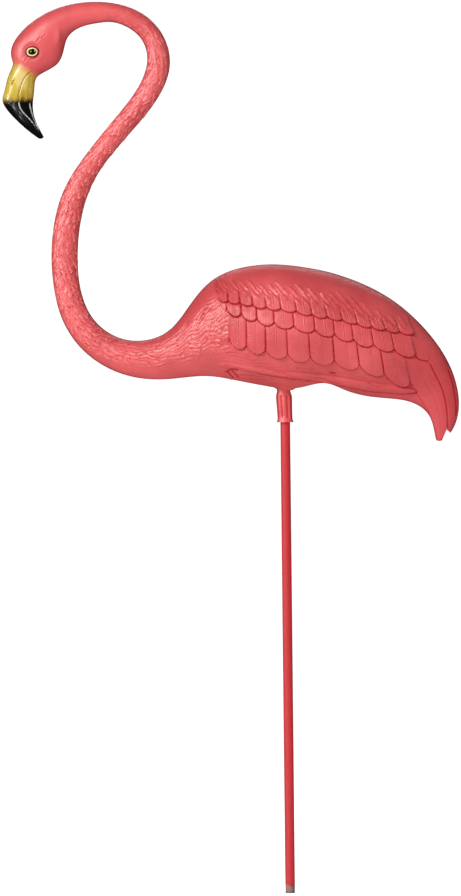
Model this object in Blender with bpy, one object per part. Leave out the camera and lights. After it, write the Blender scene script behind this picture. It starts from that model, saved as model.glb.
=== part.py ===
"""A pink flamingo lawn ornament: one moulded bird with a socket sleeve under it, pushed onto a wooden stake.

The bird faces -X. The origin is the middle of the stake's lower end, where it enters the ground.
"""

import math

import bmesh
import bpy
import numpy as np

# Driving sizes, in metres
BIRD_LENGTH = 0.371
BODY_WIDTH = 0.092
STAKE_DIAMETER = 0.008
STAKE_BELOW_SLEEVE = 0.386
STAKE_IN_SLEEVE = 0.040
STAKE_CHAMFER = 0.0004
FIT_CLEARANCE = 0.0003
SLEEVE_LENGTH = 0.028
SLEEVE_ROOT = 0.0085
SLEEVE_WALL = 0.0023
SLEEVE_SWELL = 0.0007
FLUTE_DEPTH = 0.0009
FLUTES = 8

# Heights of the carving above the plain form, in metres
FEATHER_STEP = 0.0015
FEATHER_CROWN = 0.0005
FEATHER_GAP = 0.0009
QUILL_STEP = 0.0010
QUILL_GROOVE = 0.0010
LEG_RIDGE = 0.0022
TOE_RIB = 0.0010
EYE_DOME = 0.0016
EYE_HOLLOW = 0.0009
MOUTH_GROOVE = 0.0009
FOREHEAD_GROOVE = 0.0003
NOSTRIL_GROOVE = 0.0007

# Mesh density: rings along the bird, points around a ring, extra cuts on the body, triangles kept in the end
RINGS = 270
AROUND = 72
BODY_CUTS = 3
TRIANGLES = 8600

# The free form is drawn in millimetres from the point where the sleeve's axis meets the belly,
# for a bird of this length and width, and is scaled from there to the driving sizes.
DRAWN_LENGTH = 371.0
DRAWN_WIDTH = 92.0

# Cross-sections from the tip of the bill to the tail: back x, back z, belly x, belly z, half width
SECTIONS = (
    (-198.5, 206.0, -195.0, 207.5, 1.5),
    (-206.2, 211.6, -198.2, 213.2, 3.0),
    (-219.2, 223.5, -202.6, 223.3, 5.8),
    (-226.7, 232.6, -204.2, 232.5, 7.2),
    (-229.0, 239.0, -203.9, 239.0, 7.8),
    (-227.4, 245.4, -203.2, 244.5, 8.3),
    (-222.9, 260.8, -200.8, 257.0, 9.8),
    (-220.2, 267.0, -196.7, 260.2, 11.0),
    (-220.9, 272.5, -189.5, 264.0, 12.5),
    (-221.5, 278.2, -183.7, 268.2, 13.5),
    (-216.6, 289.7, -178.6, 279.0, 14.0),
    (-204.6, 301.8, -175.1, 289.6, 12.7),
    (-187.0, 311.9, -165.2, 297.5, 10.7),
    (-164.6, 317.6, -151.8, 300.9, 8.9),
    (-139.8, 317.4, -139.0, 301.8, 7.6),
    (-115.6, 309.4, -126.0, 297.5, 7.8),
    (-98.6, 293.0, -114.6, 287.6, 8.3),
    (-91.6, 270.0, -109.8, 270.0, 9.2),
    (-98.0, 245.7, -117.5, 248.0, 9.4),
    (-115.8, 220.8, -134.0, 226.0, 9.1),
    (-144.3, 187.8, -160.6, 193.6, 8.8),
    (-158.5, 164.0, -178.0, 167.0, 9.4),
    (-166.7, 135.0, -187.6, 136.5, 10.2),
    (-168.9, 110.0, -190.0, 110.0, 10.4),
    (-166.4, 81.0, -187.6, 80.0, 10.7),
    (-159.0, 62.0, -181.7, 58.3, 11.3),
    (-145.0, 47.5, -166.5, 34.5, 12.3),
    (-121.5, 40.0, -134.0, 13.5, 14.5),
    (-96.4, 46.8, -98.0, 8.5, 18.5),
    (-79.0, 66.2, -66.5, 10.8, 27.0),
    (-58.5, 89.0, -40.0, 7.0, 37.0),
    (-27.2, 100.3, -15.0, 2.0, 44.0),
    (-6.5, 101.4, -1.5, 0.0, 46.0),
    (14.0, 99.3, 14.5, 0.9, 46.0),
    (34.1, 95.4, 32.5, 3.9, 44.5),
    (54.6, 88.9, 49.5, -2.0, 41.0),
    (88.5, 71.4, 79.0, -8.6, 30.5),
    (115.0, 47.5, 103.3, -12.4, 18.5),
    (133.0, 21.8, 117.5, -22.6, 10.8),
    (141.6, -4.0, 122.0, -35.0, 7.4),
    (140.8, -26.3, 123.3, -42.0, 5.6),
    (135.8, -37.2, 123.7, -43.5, 4.4),
    (128.4, -44.6, 124.2, -44.3, 3.2),
)

# Distances along the spine from the bill, and the ring spacing there: fine at both ends and on the head
RING_STATIONS = ((0, 0.6), (6, 1.5), (140, 1.6), (170, 3.2), (560, 3.2), (600, 4.4), (815, 4.0), (840, 1.6))
TAIL_SPACING = 0.8
BODY_START = 600
BILL_ROUNDING = 1.6
TAIL_ROUNDING = 1.4

# Rows of wing feathers, the lowest row first: each feather's tip from front to back, the rise of a tip's
# round edge, the length of a feather, how far its root leans to the front for each millimetre of height,
# and how much more the last feathers lean
LOWEST_TIPS = (
    (-37.8, 32.5),
    (-23.9, 28.3),
    (-6.7, 24.4),
    (11.3, 21.3),
    (30.1, 19.1),
    (51.4, 15.2),
    (71.0, 10.1),
    (92.3, 1.6),
)
MIDDLE_TIPS = (
    (-40.6, 58.5),
    (-28.9, 54.8),
    (-15.3, 50.7),
    (-1.0, 48.1),
    (16.4, 44.9),
    (33.3, 41.5),
    (48.4, 37.8),
    (63.9, 33.1),
    (81.1, 29.2),
    (98.2, 24.5),
)
HIGHEST_TIPS = (
    (-49.1, 70.2),
    (-41.0, 68.7),
    (-30.2, 66.9),
    (-20.3, 64.7),
    (-8.4, 63.0),
    (3.5, 61.4),
    (16.6, 58.8),
    (28.9, 56.2),
    (41.2, 54.5),
    (53.4, 51.6),
    (65.7, 48.5),
    (76.7, 46.3),
    (88.2, 44.1),
    (100.1, 42.4),
)
FEATHER_ROWS = (
    dict(tips=LOWEST_TIPS, rise=7.5, length=36, lean=0.0, fan=0.26),
    dict(tips=MIDDLE_TIPS, rise=6.0, length=20, lean=0.03, fan=0.2),
    dict(tips=HIGHEST_TIPS, rise=3.6, length=20, lean=0.1, fan=0.3),
)
GAP_SHARE = 0.20
FEATHER_EDGE = 0.7
ROW_END = (0.50, 0.62)

# The long quill feathers of the tail: the lowest one's front edge and reach, and the lines between them
QUILL_FRONT = ((88, 33), (97, 16), (107, -3), (118, -20))
QUILL_TOP = 34
QUILL_REACH = 14
QUILL_LINES = (
    ((106.6, 27), (108.5, 23.5), (112, 21.8), (118, 21)),
    ((118, 21), (124, 9), (129, -2), (132, -14), (133.3, -35)),
    ((133.5, 15), (137, 5), (139, -7), (140, -16)),
)
QUILL_LINE_WIDTH = 1.8
TAIL_NOTCH = ((134.9, -37.6), (132.2, -35.2), (128.4, -44.2), (138.0, -49.0))

# The folded leg: its line, then half width and share of its full height at shares of its length
LEG_LINE = (
    (-52, 19.3),
    (-33, 16.7),
    (-12, 12.6),
    (13, 9.9),
    (37.4, 6.7),
    (70, 0.4),
    (99, -2.6),
    (106.5, -3.6),
)
LEG_SHAPE = (
    (0.0, 1.4, 0.2),
    (0.12, 1.6, 0.4),
    (0.42, 2.6, 0.9),
    (0.75, 3.4, 1.0),
    (0.94, 3.3, 0.95),
    (1.0, 1.0, 0.6),
)
TOES = (((-47.6, 12.9), (-44.2, 9.0)), ((-44.6, 13.9), (-40.0, 9.2)), ((-40.6, 14.6), (-35.6, 9.9)))
TOE_HALF_WIDTH = 1.5

EYE = (-204.0, 277.2)
EYE_RADIUS = 5.1
EYE_HOLLOW_WIDTH = 1.6
MOUTH_LINE = (
    (-203, 262),
    (-208, 259),
    (-213, 251),
    (-215.5, 242),
    (-215, 234),
    (-211, 227),
    (-203, 218),
    (-198, 211),
)
MOUTH_LINE_WIDTH = 1.5
FOREHEAD_LINE = ((-219, 269), (-212, 267), (-206, 264.5), (-201, 259))
FOREHEAD_LINE_WIDTH = 1.6
NOSTRIL = ((-219.0, 254.7), (-222.0, 250.5))
NOSTRIL_WIDTH = 1.1

# The head's carving ends at this height on the neck, and the body's in front of this place
HEAD_BOTTOM = 195
BODY_FRONT = -120

# How far the form has to face sideways before carving starts and before it has its full height
CARVING_FACING = (0.12, 0.5)
LEG_FACING = (0.0, 0.08)

# The sleeve's outline from its mouth up: share of its length, and swell as a share of SLEEVE_SWELL
SLEEVE_PROFILE = ((0.0, 1.0), (0.06, 1.0), (0.22, -0.2), (0.70, 0.2), (0.80, 0.0), (0.92, -1.0), (1.0, 1.0))
FLUTE_START = (0.02, 0.15)
FLUTE_END = (0.75, 0.88)
POINTS_A_FLUTE = 6
ROD_SIDES = 32

PINK = (0.74, 0.105, 0.125)
PINK_ROUGHNESS = 0.42
CRIMSON = (0.52, 0.022, 0.045)
CRIMSON_ROUGHNESS = 0.45
SHARP_EDGE = math.radians(40)

# How many places are read along the spine, and along a carved line
SPINE_READINGS = 4000
LINE_READINGS = 60

SCALE = BIRD_LENGTH / DRAWN_LENGTH
SLEEVE_MOUTH = STAKE_BELOW_SLEEVE
BELLY = SLEEVE_MOUTH + SLEEVE_LENGTH
BORE_RADIUS = STAKE_DIAMETER / 2 + FIT_CLEARANCE
SLEEVE_RADIUS = BORE_RADIUS + SLEEVE_WALL


def clear_scene():
    """Starts from an empty scene."""
    for thing in list(bpy.data.objects):
        bpy.data.objects.remove(thing)


def material(name, colour, roughness):
    """A plain Principled material."""
    made = bpy.data.materials.new(name)
    made.use_nodes = True
    shader = made.node_tree.nodes["Principled BSDF"]
    shader.inputs["Base Color"].default_value = (*colour, 1.0)
    shader.inputs["Roughness"].default_value = roughness
    shader.inputs["Metallic"].default_value = 0.0
    return made


def add_object(name, bm, finish=None):
    """Turns a bmesh into a named object at the origin."""
    mesh = bpy.data.meshes.new(name)
    bm.to_mesh(mesh)
    bm.free()
    made = bpy.data.objects.new(name, mesh)
    bpy.context.collection.objects.link(made)
    if finish:
        mesh.materials.append(finish)
    mesh.shade_smooth()
    mesh.set_sharp_from_angle(angle=SHARP_EDGE)
    return made


def natural_spline(knots, values, at):
    """Natural cubic spline through the rows of values at the knots."""
    count = len(knots)
    gap = np.diff(knots)
    system = np.eye(count)
    right = np.zeros((count, values.shape[1]))
    for i in range(1, count - 1):
        system[i, i - 1 : i + 2] = gap[i - 1], 2 * (gap[i - 1] + gap[i]), gap[i]
        right[i] = 6 * ((values[i + 1] - values[i]) / gap[i] - (values[i] - values[i - 1]) / gap[i - 1])
    bend = np.linalg.solve(system, right)
    i = np.clip(np.searchsorted(knots, at, side="right") - 1, 0, count - 2)
    width = gap[i][:, None]
    done = (at - knots[i])[:, None]
    left = (knots[i + 1] - at)[:, None]
    cubic = (bend[i] * left**3 + bend[i + 1] * done**3) / (6 * width)
    return cubic + (values[i] / width - bend[i] * width / 6) * left + (
        values[i + 1] / width - bend[i + 1] * width / 6
    ) * done


SECTION_ROWS = np.array(SECTIONS)
SECTION_STEPS = sum(np.linalg.norm(np.diff(SECTION_ROWS[:, k : k + 2], axis=0), axis=1) / 2 for k in (0, 2))
SECTION_KNOTS = np.concatenate(([0.0], np.cumsum(SECTION_STEPS)))
SPINE_LENGTH = SECTION_KNOTS[-1]


def ring_counts():
    """Closely read distances along the spine, and the share of the rings up to each."""
    along = np.linspace(0.0, SPINE_LENGTH, SPINE_READINGS)
    places, spacings = zip(*RING_STATIONS, (SPINE_LENGTH, TAIL_SPACING))
    rings = np.concatenate(([0.0], np.cumsum(np.diff(along) / np.interp(along[1:], places, spacings))))
    return along, rings / rings[-1]


def form(along, angle):
    """Points of the plain form, in drawn millimetres: an elliptical ring at each place along the spine."""
    rows = natural_spline(SECTION_KNOTS, SECTION_ROWS, along)
    back, belly, half_width = rows[:, 0:2], rows[:, 2:4], rows[:, 4]
    from_bill = np.clip(along / BILL_ROUNDING, 0, 1)
    from_tail = np.clip((SPINE_LENGTH - along) / TAIL_ROUNDING, 0, 1)
    size = np.sqrt(1 - (1 - from_bill) ** 2) * np.sqrt(1 - (1 - from_tail) ** 2)
    side = (back + belly) / 2 + (back - belly) / 2 * (np.cos(angle) * size)[:, None]
    y = half_width * np.sin(angle) * size * BODY_WIDTH / DRAWN_WIDTH / SCALE
    return np.column_stack((side[:, 0], y, side[:, 1]))


def fade(low, high, value):
    """Smooth step from 0 at low to 1 at high."""
    share = np.clip((value - low) / (high - low), 0.0, 1.0)
    return share * share * (3 - 2 * share)


def curve_through(points):
    """Evenly read points of a smooth curve through a few chosen ones."""
    rows = np.array(points, dtype=float)
    knots = np.concatenate(([0.0], np.cumsum(np.linalg.norm(np.diff(rows, axis=0), axis=1))))
    return natural_spline(knots, rows, np.linspace(0.0, knots[-1], LINE_READINGS))


def line_distance(x, z, points):
    """Distance of each place to a curve, and the share of the curve's length at the nearest point."""
    line = curve_through(points)
    nearest = np.full(x.shape, 1e9)
    share = np.zeros(x.shape)
    for i, (start, end) in enumerate(zip(line[:-1], line[1:])):
        run = end - start
        part = np.clip(((x - start[0]) * run[0] + (z - start[1]) * run[1]) / (run @ run), 0.0, 1.0)
        away = np.hypot(x - start[0] - part * run[0], z - start[1] - part * run[1])
        closer = away < nearest
        nearest = np.where(closer, away, nearest)
        share = np.where(closer, (i + part) / (len(line) - 1), share)
    return nearest, share


def groove(x, z, points, half_width):
    """1 along a curve, falling to 0 at half a width from it."""
    away, _ = line_distance(x, z, points)
    return 1 - fade(0.0, half_width, away)


def with_ends(row):
    """A row's tips, with one more place beyond each end."""
    tips = np.array(row["tips"])
    return np.vstack((2 * tips[0] - tips[1], tips, 2 * tips[-1] - tips[-2]))


def tip_height(row, at):
    """Height of the line through a row's tips."""
    tips = with_ends(row)
    return natural_spline(tips[:, 0], tips[:, 1:], np.clip(at, tips[0, 0], tips[-1, 0]))[:, 0]


def feather_row(x, z, row):
    """Where a row of feathers covers the form, and its height there."""
    tips = with_ends(row)[:, 0]
    lean = row["lean"] + row["fan"] * np.clip((x - tips[0]) / (tips[-1] - tips[0]), 0, 1) ** 2
    foot = x + lean * (z - tip_height(row, x))
    number = np.interp(foot, tips, np.arange(len(tips)) - 1.0)
    across = np.clip(2 * (number - np.round(number)), -1, 1)
    above = z - tip_height(row, foot) - row["rise"] * (1 - np.sqrt(1 - across**2))
    last = len(row["tips"]) - 1
    ends = (1 - fade(*ROW_END, -number)) * (1 - fade(*ROW_END, number - last))
    covers = fade(-FEATHER_EDGE, FEATHER_EDGE, above) * ends
    lift = np.clip(1 - above / row["length"], 0, 1)
    gap = fade(1 - GAP_SHARE, 1.0, np.abs(across))
    return covers, lift * (FEATHER_STEP + FEATHER_CROWN * (1 - across**2) - FEATHER_GAP * gap)


def wing_carving(x, z):
    """Height of the feathers on the wings and the tail."""
    line = curve_through(QUILL_FRONT)
    behind = x - np.interp(-z, -line[:, 1], line[:, 0])
    below_top = 1 - fade(QUILL_TOP - QUILL_REACH, QUILL_TOP, z)
    on_quill = fade(-FEATHER_EDGE, FEATHER_EDGE, behind) * below_top
    height = QUILL_STEP * on_quill * np.exp(-np.clip(behind, 0, None) / QUILL_REACH)
    for row in FEATHER_ROWS:
        covers, lift = feather_row(x, z, row)
        height = height * (1 - covers) + lift * covers
    for points in QUILL_LINES:
        height -= QUILL_GROOVE * groove(x, z, points, QUILL_LINE_WIDTH)
    return height


def leg_carving(x, z):
    """Height of the folded leg along the belly and of the three toes at its front."""
    away, share = line_distance(x, z, LEG_LINE)
    shares, half_widths, heights = zip(*LEG_SHAPE)
    across = away / np.interp(share, shares, half_widths)
    height = LEG_RIDGE * np.interp(share, shares, heights) * np.sqrt(np.clip(1 - across**2, 0, 1))
    for points in TOES:
        toe, _ = line_distance(x, z, points)
        height = np.maximum(height, TOE_RIB * np.sqrt(np.clip(1 - (toe / TOE_HALF_WIDTH) ** 2, 0, 1)))
    return height


def head_carving(x, z):
    """Height of the carving on the head and bill."""
    away = np.hypot(x - EYE[0], z - EYE[1])
    dome = np.sqrt(np.clip(1 - (away / EYE_RADIUS) ** 2, 0, 1))
    hollow = np.exp(-(((away - EYE_RADIUS - EYE_HOLLOW_WIDTH / 2) / EYE_HOLLOW_WIDTH) ** 2))
    height = EYE_DOME * dome - EYE_HOLLOW * hollow
    height -= MOUTH_GROOVE * groove(x, z, MOUTH_LINE, MOUTH_LINE_WIDTH)
    height -= FOREHEAD_GROOVE * groove(x, z, FOREHEAD_LINE, FOREHEAD_LINE_WIDTH)
    return height - NOSTRIL_GROOVE * groove(x, z, NOSTRIL, NOSTRIL_WIDTH)


def carving(x, z, sideways):
    """Height of all carving over the side view, less where the form turns away from the side."""
    facing = fade(*CARVING_FACING, sideways)
    body = np.maximum(wing_carving(x, z) * facing, leg_carving(x, z) * fade(*LEG_FACING, sideways))
    return np.where(x > BODY_FRONT, body, np.where(z > HEAD_BOTTOM, head_carving(x, z) * facing, 0.0))


def around_and_along(points):
    """The turn around the spine, and the share of the rings from the bill, of points on the unit sphere."""
    up = points[:, 2] / np.linalg.norm(points, axis=1)
    return np.arctan2(points[:, 1], points[:, 0]), np.arccos(np.clip(up, -1.0, 1.0)) / math.pi


def bird_mesh():
    """The bird's closed skin: the rings of a sphere laid along the spine, then carved."""
    bm = bmesh.new()
    bmesh.ops.create_uvsphere(bm, u_segments=AROUND, v_segments=RINGS, radius=1.0)
    along, ring_share = ring_counts()
    body_share = np.interp(BODY_START, along, ring_share)
    faces = list(bm.faces)
    _, shares = around_and_along(np.array([face.calc_center_median() for face in faces]))
    edges = {edge for face, share in zip(faces, shares) if share > body_share for edge in face.edges}
    body_edges = [edge for edge in bm.edges if edge in edges]
    bmesh.ops.subdivide_edges(bm, edges=body_edges, cuts=BODY_CUTS, use_grid_fill=True)
    bmesh.ops.triangulate(bm, faces=bm.faces)

    angle, share = around_and_along(np.array([vert.co for vert in bm.verts]))
    place = form(np.interp(share, ring_share, along), angle)
    move_points(bm, place)
    bmesh.ops.recalc_face_normals(bm, faces=bm.faces)
    bm.normal_update()
    normal = np.array([vert.normal for vert in bm.verts])
    height = carving(place[:, 0], place[:, 2], np.abs(normal[:, 1]))
    move_points(bm, place * SCALE + normal * height[:, None] + np.array((0.0, 0.0, BELLY)))
    return bm


def move_points(bm, places):
    """Moves every point of a mesh to its new place."""
    for vert, place in zip(bm.verts, places):
        vert.co = place


def sleeve_mesh():
    """The fluted socket sleeve: rings from its flared mouth up to a waist, and a root inside the belly."""
    bm = bmesh.new()
    sides = FLUTES * POINTS_A_FLUTE
    ring = bmesh.ops.create_circle(bm, segments=sides, radius=SLEEVE_RADIUS, cap_ends=True)["verts"]
    edges = list(bm.edges)
    levels = [(SLEEVE_LENGTH * share, swell, share) for share, swell in SLEEVE_PROFILE]
    levels.append((SLEEVE_LENGTH + SLEEVE_ROOT, levels[-1][1], 1.0))
    shape_sleeve_ring(ring, *levels[0])
    for level in levels[1:]:
        grown = bmesh.ops.extrude_edge_only(bm, edges=edges)["geom"]
        edges = [item for item in grown if isinstance(item, bmesh.types.BMEdge)]
        shape_sleeve_ring([item for item in grown if isinstance(item, bmesh.types.BMVert)], *level)
    bmesh.ops.edgeloop_fill(bm, edges=edges)
    bmesh.ops.recalc_face_normals(bm, faces=bm.faces)
    return bm


def shape_sleeve_ring(ring, height, swell, share):
    """Moves one ring of the sleeve to its height above the mouth and gives it its radius and flutes."""
    fluted = FLUTE_DEPTH * float(fade(*FLUTE_START, share) * (1 - fade(*FLUTE_END, share)))
    for vert in ring:
        turn = math.atan2(vert.co.y, vert.co.x)
        valley = (1 - math.cos(FLUTES * turn)) / 2
        reach = SLEEVE_RADIUS + SLEEVE_SWELL * swell - fluted * valley**2
        vert.co = (reach * math.cos(turn), reach * math.sin(turn), SLEEVE_MOUTH + height)


def rod_mesh(radius, bottom, top, chamfer=0.0):
    """An upright rod with optional chamfered ends."""
    bm = bmesh.new()
    size = dict(radius1=radius, radius2=radius, depth=top - bottom)
    bmesh.ops.create_cone(bm, cap_ends=True, segments=ROD_SIDES, **size)
    bmesh.ops.translate(bm, verts=bm.verts, vec=(0.0, 0.0, (top + bottom) / 2))
    if chamfer:
        rims = [edge for edge in bm.edges if abs(edge.verts[0].co.z - edge.verts[1].co.z) < chamfer]
        bmesh.ops.bevel(bm, geom=rims, offset=chamfer, segments=1, profile=0.5, affect="EDGES", material=-1)
    return bm


def notch_mesh():
    """The wedge of air between the two feather tips at the end of the tail."""
    bm = bmesh.new()
    half = BODY_WIDTH / 4
    corners = [bm.verts.new((x * SCALE, -half, BELLY + z * SCALE)) for x, z in TAIL_NOTCH]
    side = bm.faces.new(corners)
    grown = bmesh.ops.extrude_face_region(bm, geom=[side])["geom"]
    moved = [item for item in grown if isinstance(item, bmesh.types.BMVert)]
    bmesh.ops.translate(bm, verts=moved, vec=(0.0, 2 * half, 0.0))
    bmesh.ops.recalc_face_normals(bm, faces=bm.faces)
    return bm


def boolean(target, tool, operation):
    """Joins a tool to the target, or cuts it away, and hides the tool."""
    step = target.modifiers.new(tool.name, "BOOLEAN")
    step.operation = operation
    step.solver = "EXACT"
    step.object = tool
    tool.hide_render = True
    tool.display_type = "WIRE"


def make_bird():
    """The moulded bird, thinned to a light mesh, with the sleeve joined to it and bored for the stake."""
    bird = add_object("flamingo", bird_mesh(), material("pink plastic", PINK, PINK_ROUGHNESS))
    thin = bird.modifiers.new("light mesh", "DECIMATE")
    thin.ratio = TRIANGLES / len(bird.data.polygons)
    boolean(bird, add_object("sleeve_tool", sleeve_mesh()), "UNION")
    bore_top = SLEEVE_MOUTH + STAKE_IN_SLEEVE + FIT_CLEARANCE
    bore = rod_mesh(BORE_RADIUS, SLEEVE_MOUTH - SLEEVE_LENGTH, bore_top)
    boolean(bird, add_object("bore_tool", bore), "DIFFERENCE")
    boolean(bird, add_object("tail_notch_tool", notch_mesh()), "DIFFERENCE")
    return bird


def make_stake():
    """The wooden dowel, from the ground end up into the sleeve."""
    rod = rod_mesh(STAKE_DIAMETER / 2, 0.0, SLEEVE_MOUTH + STAKE_IN_SLEEVE, STAKE_CHAMFER)
    return add_object("stake", rod, material("crimson paint on wood", CRIMSON, CRIMSON_ROUGHNESS))


clear_scene()
make_bird()
make_stake()
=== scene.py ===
"""Pink flamingo lawn ornament: the finished look of the moulded bird and of its wooden stake.

The bird's skin is laid out from the same cross-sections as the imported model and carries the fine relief:
three rows of wing feathers, tail quills, small neck feathers, the folded leg, the eye and the bill.
"""

import math

import bmesh
import bpy
import numpy as np
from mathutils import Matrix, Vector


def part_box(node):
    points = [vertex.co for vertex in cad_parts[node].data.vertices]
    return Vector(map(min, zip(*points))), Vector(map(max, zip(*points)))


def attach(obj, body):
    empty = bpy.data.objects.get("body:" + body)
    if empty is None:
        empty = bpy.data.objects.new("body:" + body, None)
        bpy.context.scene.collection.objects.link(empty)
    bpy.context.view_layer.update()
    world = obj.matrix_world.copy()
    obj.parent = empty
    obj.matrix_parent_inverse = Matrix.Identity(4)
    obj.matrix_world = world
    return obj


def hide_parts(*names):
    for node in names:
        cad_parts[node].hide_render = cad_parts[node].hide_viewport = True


bl_info = {
    "name": "Flamingo lawn ornament",
    "version": (1, 0, 0),
    "blender": (4, 5, 0),
    "location": "3D View > Sidebar > Flamingo",
    "description": "Models and finishes a moulded pink flamingo on a painted wooden stake",
    "category": "Add Mesh",
}

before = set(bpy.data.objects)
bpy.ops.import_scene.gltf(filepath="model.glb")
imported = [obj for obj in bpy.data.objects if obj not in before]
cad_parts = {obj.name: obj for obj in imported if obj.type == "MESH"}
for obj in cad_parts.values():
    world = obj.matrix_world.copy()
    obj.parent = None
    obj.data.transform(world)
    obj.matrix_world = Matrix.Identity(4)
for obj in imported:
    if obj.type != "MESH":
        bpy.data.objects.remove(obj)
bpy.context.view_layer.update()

STAKE_BOTTOM, STAKE_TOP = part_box("stake")
STAKE_RADIUS = (STAKE_TOP.x - STAKE_BOTTOM.x) / 2
STAKE_IN_SLEEVE = 0.040
SLEEVE_MOUTH = STAKE_TOP.z - STAKE_IN_SLEEVE

# The free form is drawn in millimetres from the point where the sleeve's axis meets the belly.
MM = 0.001

# Cross-sections from the tip of the bill to the tail: back x, back z, belly x, belly z, half width
SECTIONS = (
    (-198.5, 206.0, -195.0, 207.5, 1.5),
    (-206.2, 211.6, -198.2, 213.2, 3.0),
    (-219.2, 223.5, -202.6, 223.3, 5.8),
    (-226.7, 232.6, -204.2, 232.5, 7.2),
    (-229.0, 239.0, -203.9, 239.0, 7.8),
    (-227.4, 245.4, -203.2, 244.5, 8.3),
    (-222.9, 260.8, -200.8, 257.0, 9.8),
    (-220.2, 267.0, -196.7, 260.2, 11.0),
    (-220.9, 272.5, -189.5, 264.0, 12.5),
    (-221.5, 278.2, -183.7, 268.2, 13.5),
    (-216.6, 289.7, -178.6, 279.0, 14.0),
    (-204.6, 301.8, -175.1, 289.6, 12.7),
    (-187.0, 311.9, -165.2, 297.5, 10.7),
    (-164.6, 317.6, -151.8, 300.9, 8.9),
    (-139.8, 317.4, -139.0, 301.8, 7.6),
    (-115.6, 309.4, -126.0, 297.5, 7.8),
    (-98.6, 293.0, -114.6, 287.6, 8.3),
    (-91.6, 270.0, -109.8, 270.0, 9.2),
    (-98.0, 245.7, -117.5, 248.0, 9.4),
    (-115.8, 220.8, -134.0, 226.0, 9.1),
    (-144.3, 187.8, -160.6, 193.6, 8.8),
    (-158.5, 164.0, -178.0, 167.0, 9.4),
    (-166.7, 135.0, -187.6, 136.5, 10.2),
    (-168.9, 110.0, -190.0, 110.0, 10.4),
    (-166.4, 81.0, -187.6, 80.0, 10.7),
    (-159.0, 62.0, -181.7, 58.3, 11.3),
    (-145.0, 47.5, -166.5, 34.5, 12.3),
    (-121.5, 40.0, -134.0, 13.5, 14.5),
    (-96.4, 46.8, -98.0, 8.5, 18.5),
    (-79.0, 66.2, -66.5, 10.8, 27.0),
    (-58.5, 89.0, -40.0, 7.0, 37.0),
    (-27.2, 100.3, -15.0, 2.0, 44.0),
    (-6.5, 101.4, -1.5, 0.0, 46.0),
    (14.0, 99.3, 14.5, 0.9, 46.0),
    (34.1, 95.4, 32.5, 3.9, 44.5),
    (54.6, 88.9, 49.5, -2.0, 41.0),
    (88.5, 71.4, 79.0, -8.6, 30.5),
    (115.0, 47.5, 103.3, -12.4, 18.5),
    (133.0, 21.8, 117.5, -22.6, 10.8),
    (141.6, -4.0, 122.0, -35.0, 7.4),
    (140.8, -26.3, 123.3, -42.0, 5.6),
    (135.8, -37.2, 123.7, -43.5, 4.4),
    (128.4, -44.6, 124.2, -44.3, 3.2),
)
BILL_ROUNDING = 1.6
TAIL_ROUNDING = 1.4
SPINE_READINGS = 4000
LINE_READINGS = 60

# Rings of the skin: distances along the spine from the bill with the ring spacing there, points around a
# ring, and the stretches that are cut finer with the number of cuts
RING_STATIONS = ((0, 0.5), (6, 0.7), (60, 0.8), (140, 0.9), (480, 0.9), (510, 2.6), (815, 2.6), (840, 1.2))
AROUND = 96
FINER_STRETCHES = ((62, 112, 1), (505, 1000, 3))
TRIANGLES = 194000

# Rows of wing feathers, the lowest row first: each feather's tip from front to back, the rise of a tip's
# round edge, the length of a feather, its lean to the front, and how much more the last feathers lean
LOWEST_TIPS = (
    (-37.8, 32.5),
    (-23.9, 28.3),
    (-6.7, 24.4),
    (11.3, 21.3),
    (30.1, 19.1),
    (51.4, 15.2),
    (71.0, 10.1),
    (92.3, 1.6),
)
MIDDLE_TIPS = (
    (-40.6, 58.5),
    (-28.9, 54.8),
    (-15.3, 50.7),
    (-1.0, 48.1),
    (16.4, 44.9),
    (33.3, 41.5),
    (48.4, 37.8),
    (63.9, 33.1),
    (81.1, 29.2),
    (98.2, 24.5),
)
HIGHEST_TIPS = (
    (-49.1, 70.2),
    (-41.0, 68.7),
    (-30.2, 66.9),
    (-20.3, 64.7),
    (-8.4, 63.0),
    (3.5, 61.4),
    (16.6, 58.8),
    (28.9, 56.2),
    (41.2, 54.5),
    (53.4, 51.6),
    (65.7, 48.5),
    (76.7, 46.3),
    (88.2, 44.1),
    (100.1, 42.4),
)
FEATHER_ROWS = (
    dict(tips=LOWEST_TIPS, rise=7.5, length=36, lean=0.0, fan=0.26),
    dict(tips=MIDDLE_TIPS, rise=6.0, length=20, lean=0.03, fan=0.2),
    dict(tips=HIGHEST_TIPS, rise=3.6, length=13, lean=0.1, fan=0.3),
)
# The small curved feathers above the highest row: their spacing, then for each layer its shift along the
# row, where it starts and ends above the row's tips, and its height
FLAME_SPACING = 8.3
FLAME_LAYERS = ((0.0, 10.0, 25.0, 1.0), (0.5, 7.0, 20.0, 0.8), (0.3, 4.5, 14.0, 0.4))
FLAME_SLANT = 0.30
FLAME_CURVE = 0.016
FLAME_REACH = 30
# How strongly painted highlights lighten the flames' crests and painted shade darkens their outlines
FLAME_CREST = 0.3
FLAME_OUTLINE = 0.5
# How much the tops and bottoms vary, how much lower they lie at the row's end and over which length, and
# the half width of one as a share of the spacing, with how much it varies
FLAME_SPREAD = (5.0, 3.0)
FLAME_FALL = (10.0, 5.0)
FLAME_FALL_LENGTH = 60.0
FLAME_HALF = (0.55, 0.35)

# A wing feather's carving in millimetres: the softness of its edge, its bulge and twist across, its rim and
# the painted highlight along it, the gap beside it, the cusp between two tips, and the dips under both
FEATHER_EDGE = 0.3
FEATHER_BULGE = 0.5
FEATHER_TWIST = 0.40
RIM_HEIGHT = 0.22
RIM_CREST = 0.40
GAP_WIDTH = 0.62
GAP_DEPTH = 0.85
CUSP_WIDTH = 1.3
CUSP_DIP = 0.9
EDGE_DIP = 0.40
# Where the rows end past the last tip and where the gaps do, in feathers
ROW_END = (0.50, 0.62)
GAP_END = (0.30, 0.45)

# The fine waves between the lowest row and the leg, and the strength of the painted shade in their troughs
WAVE_HEIGHT = 0.2
WAVE_SHADE = 0.5

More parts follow.
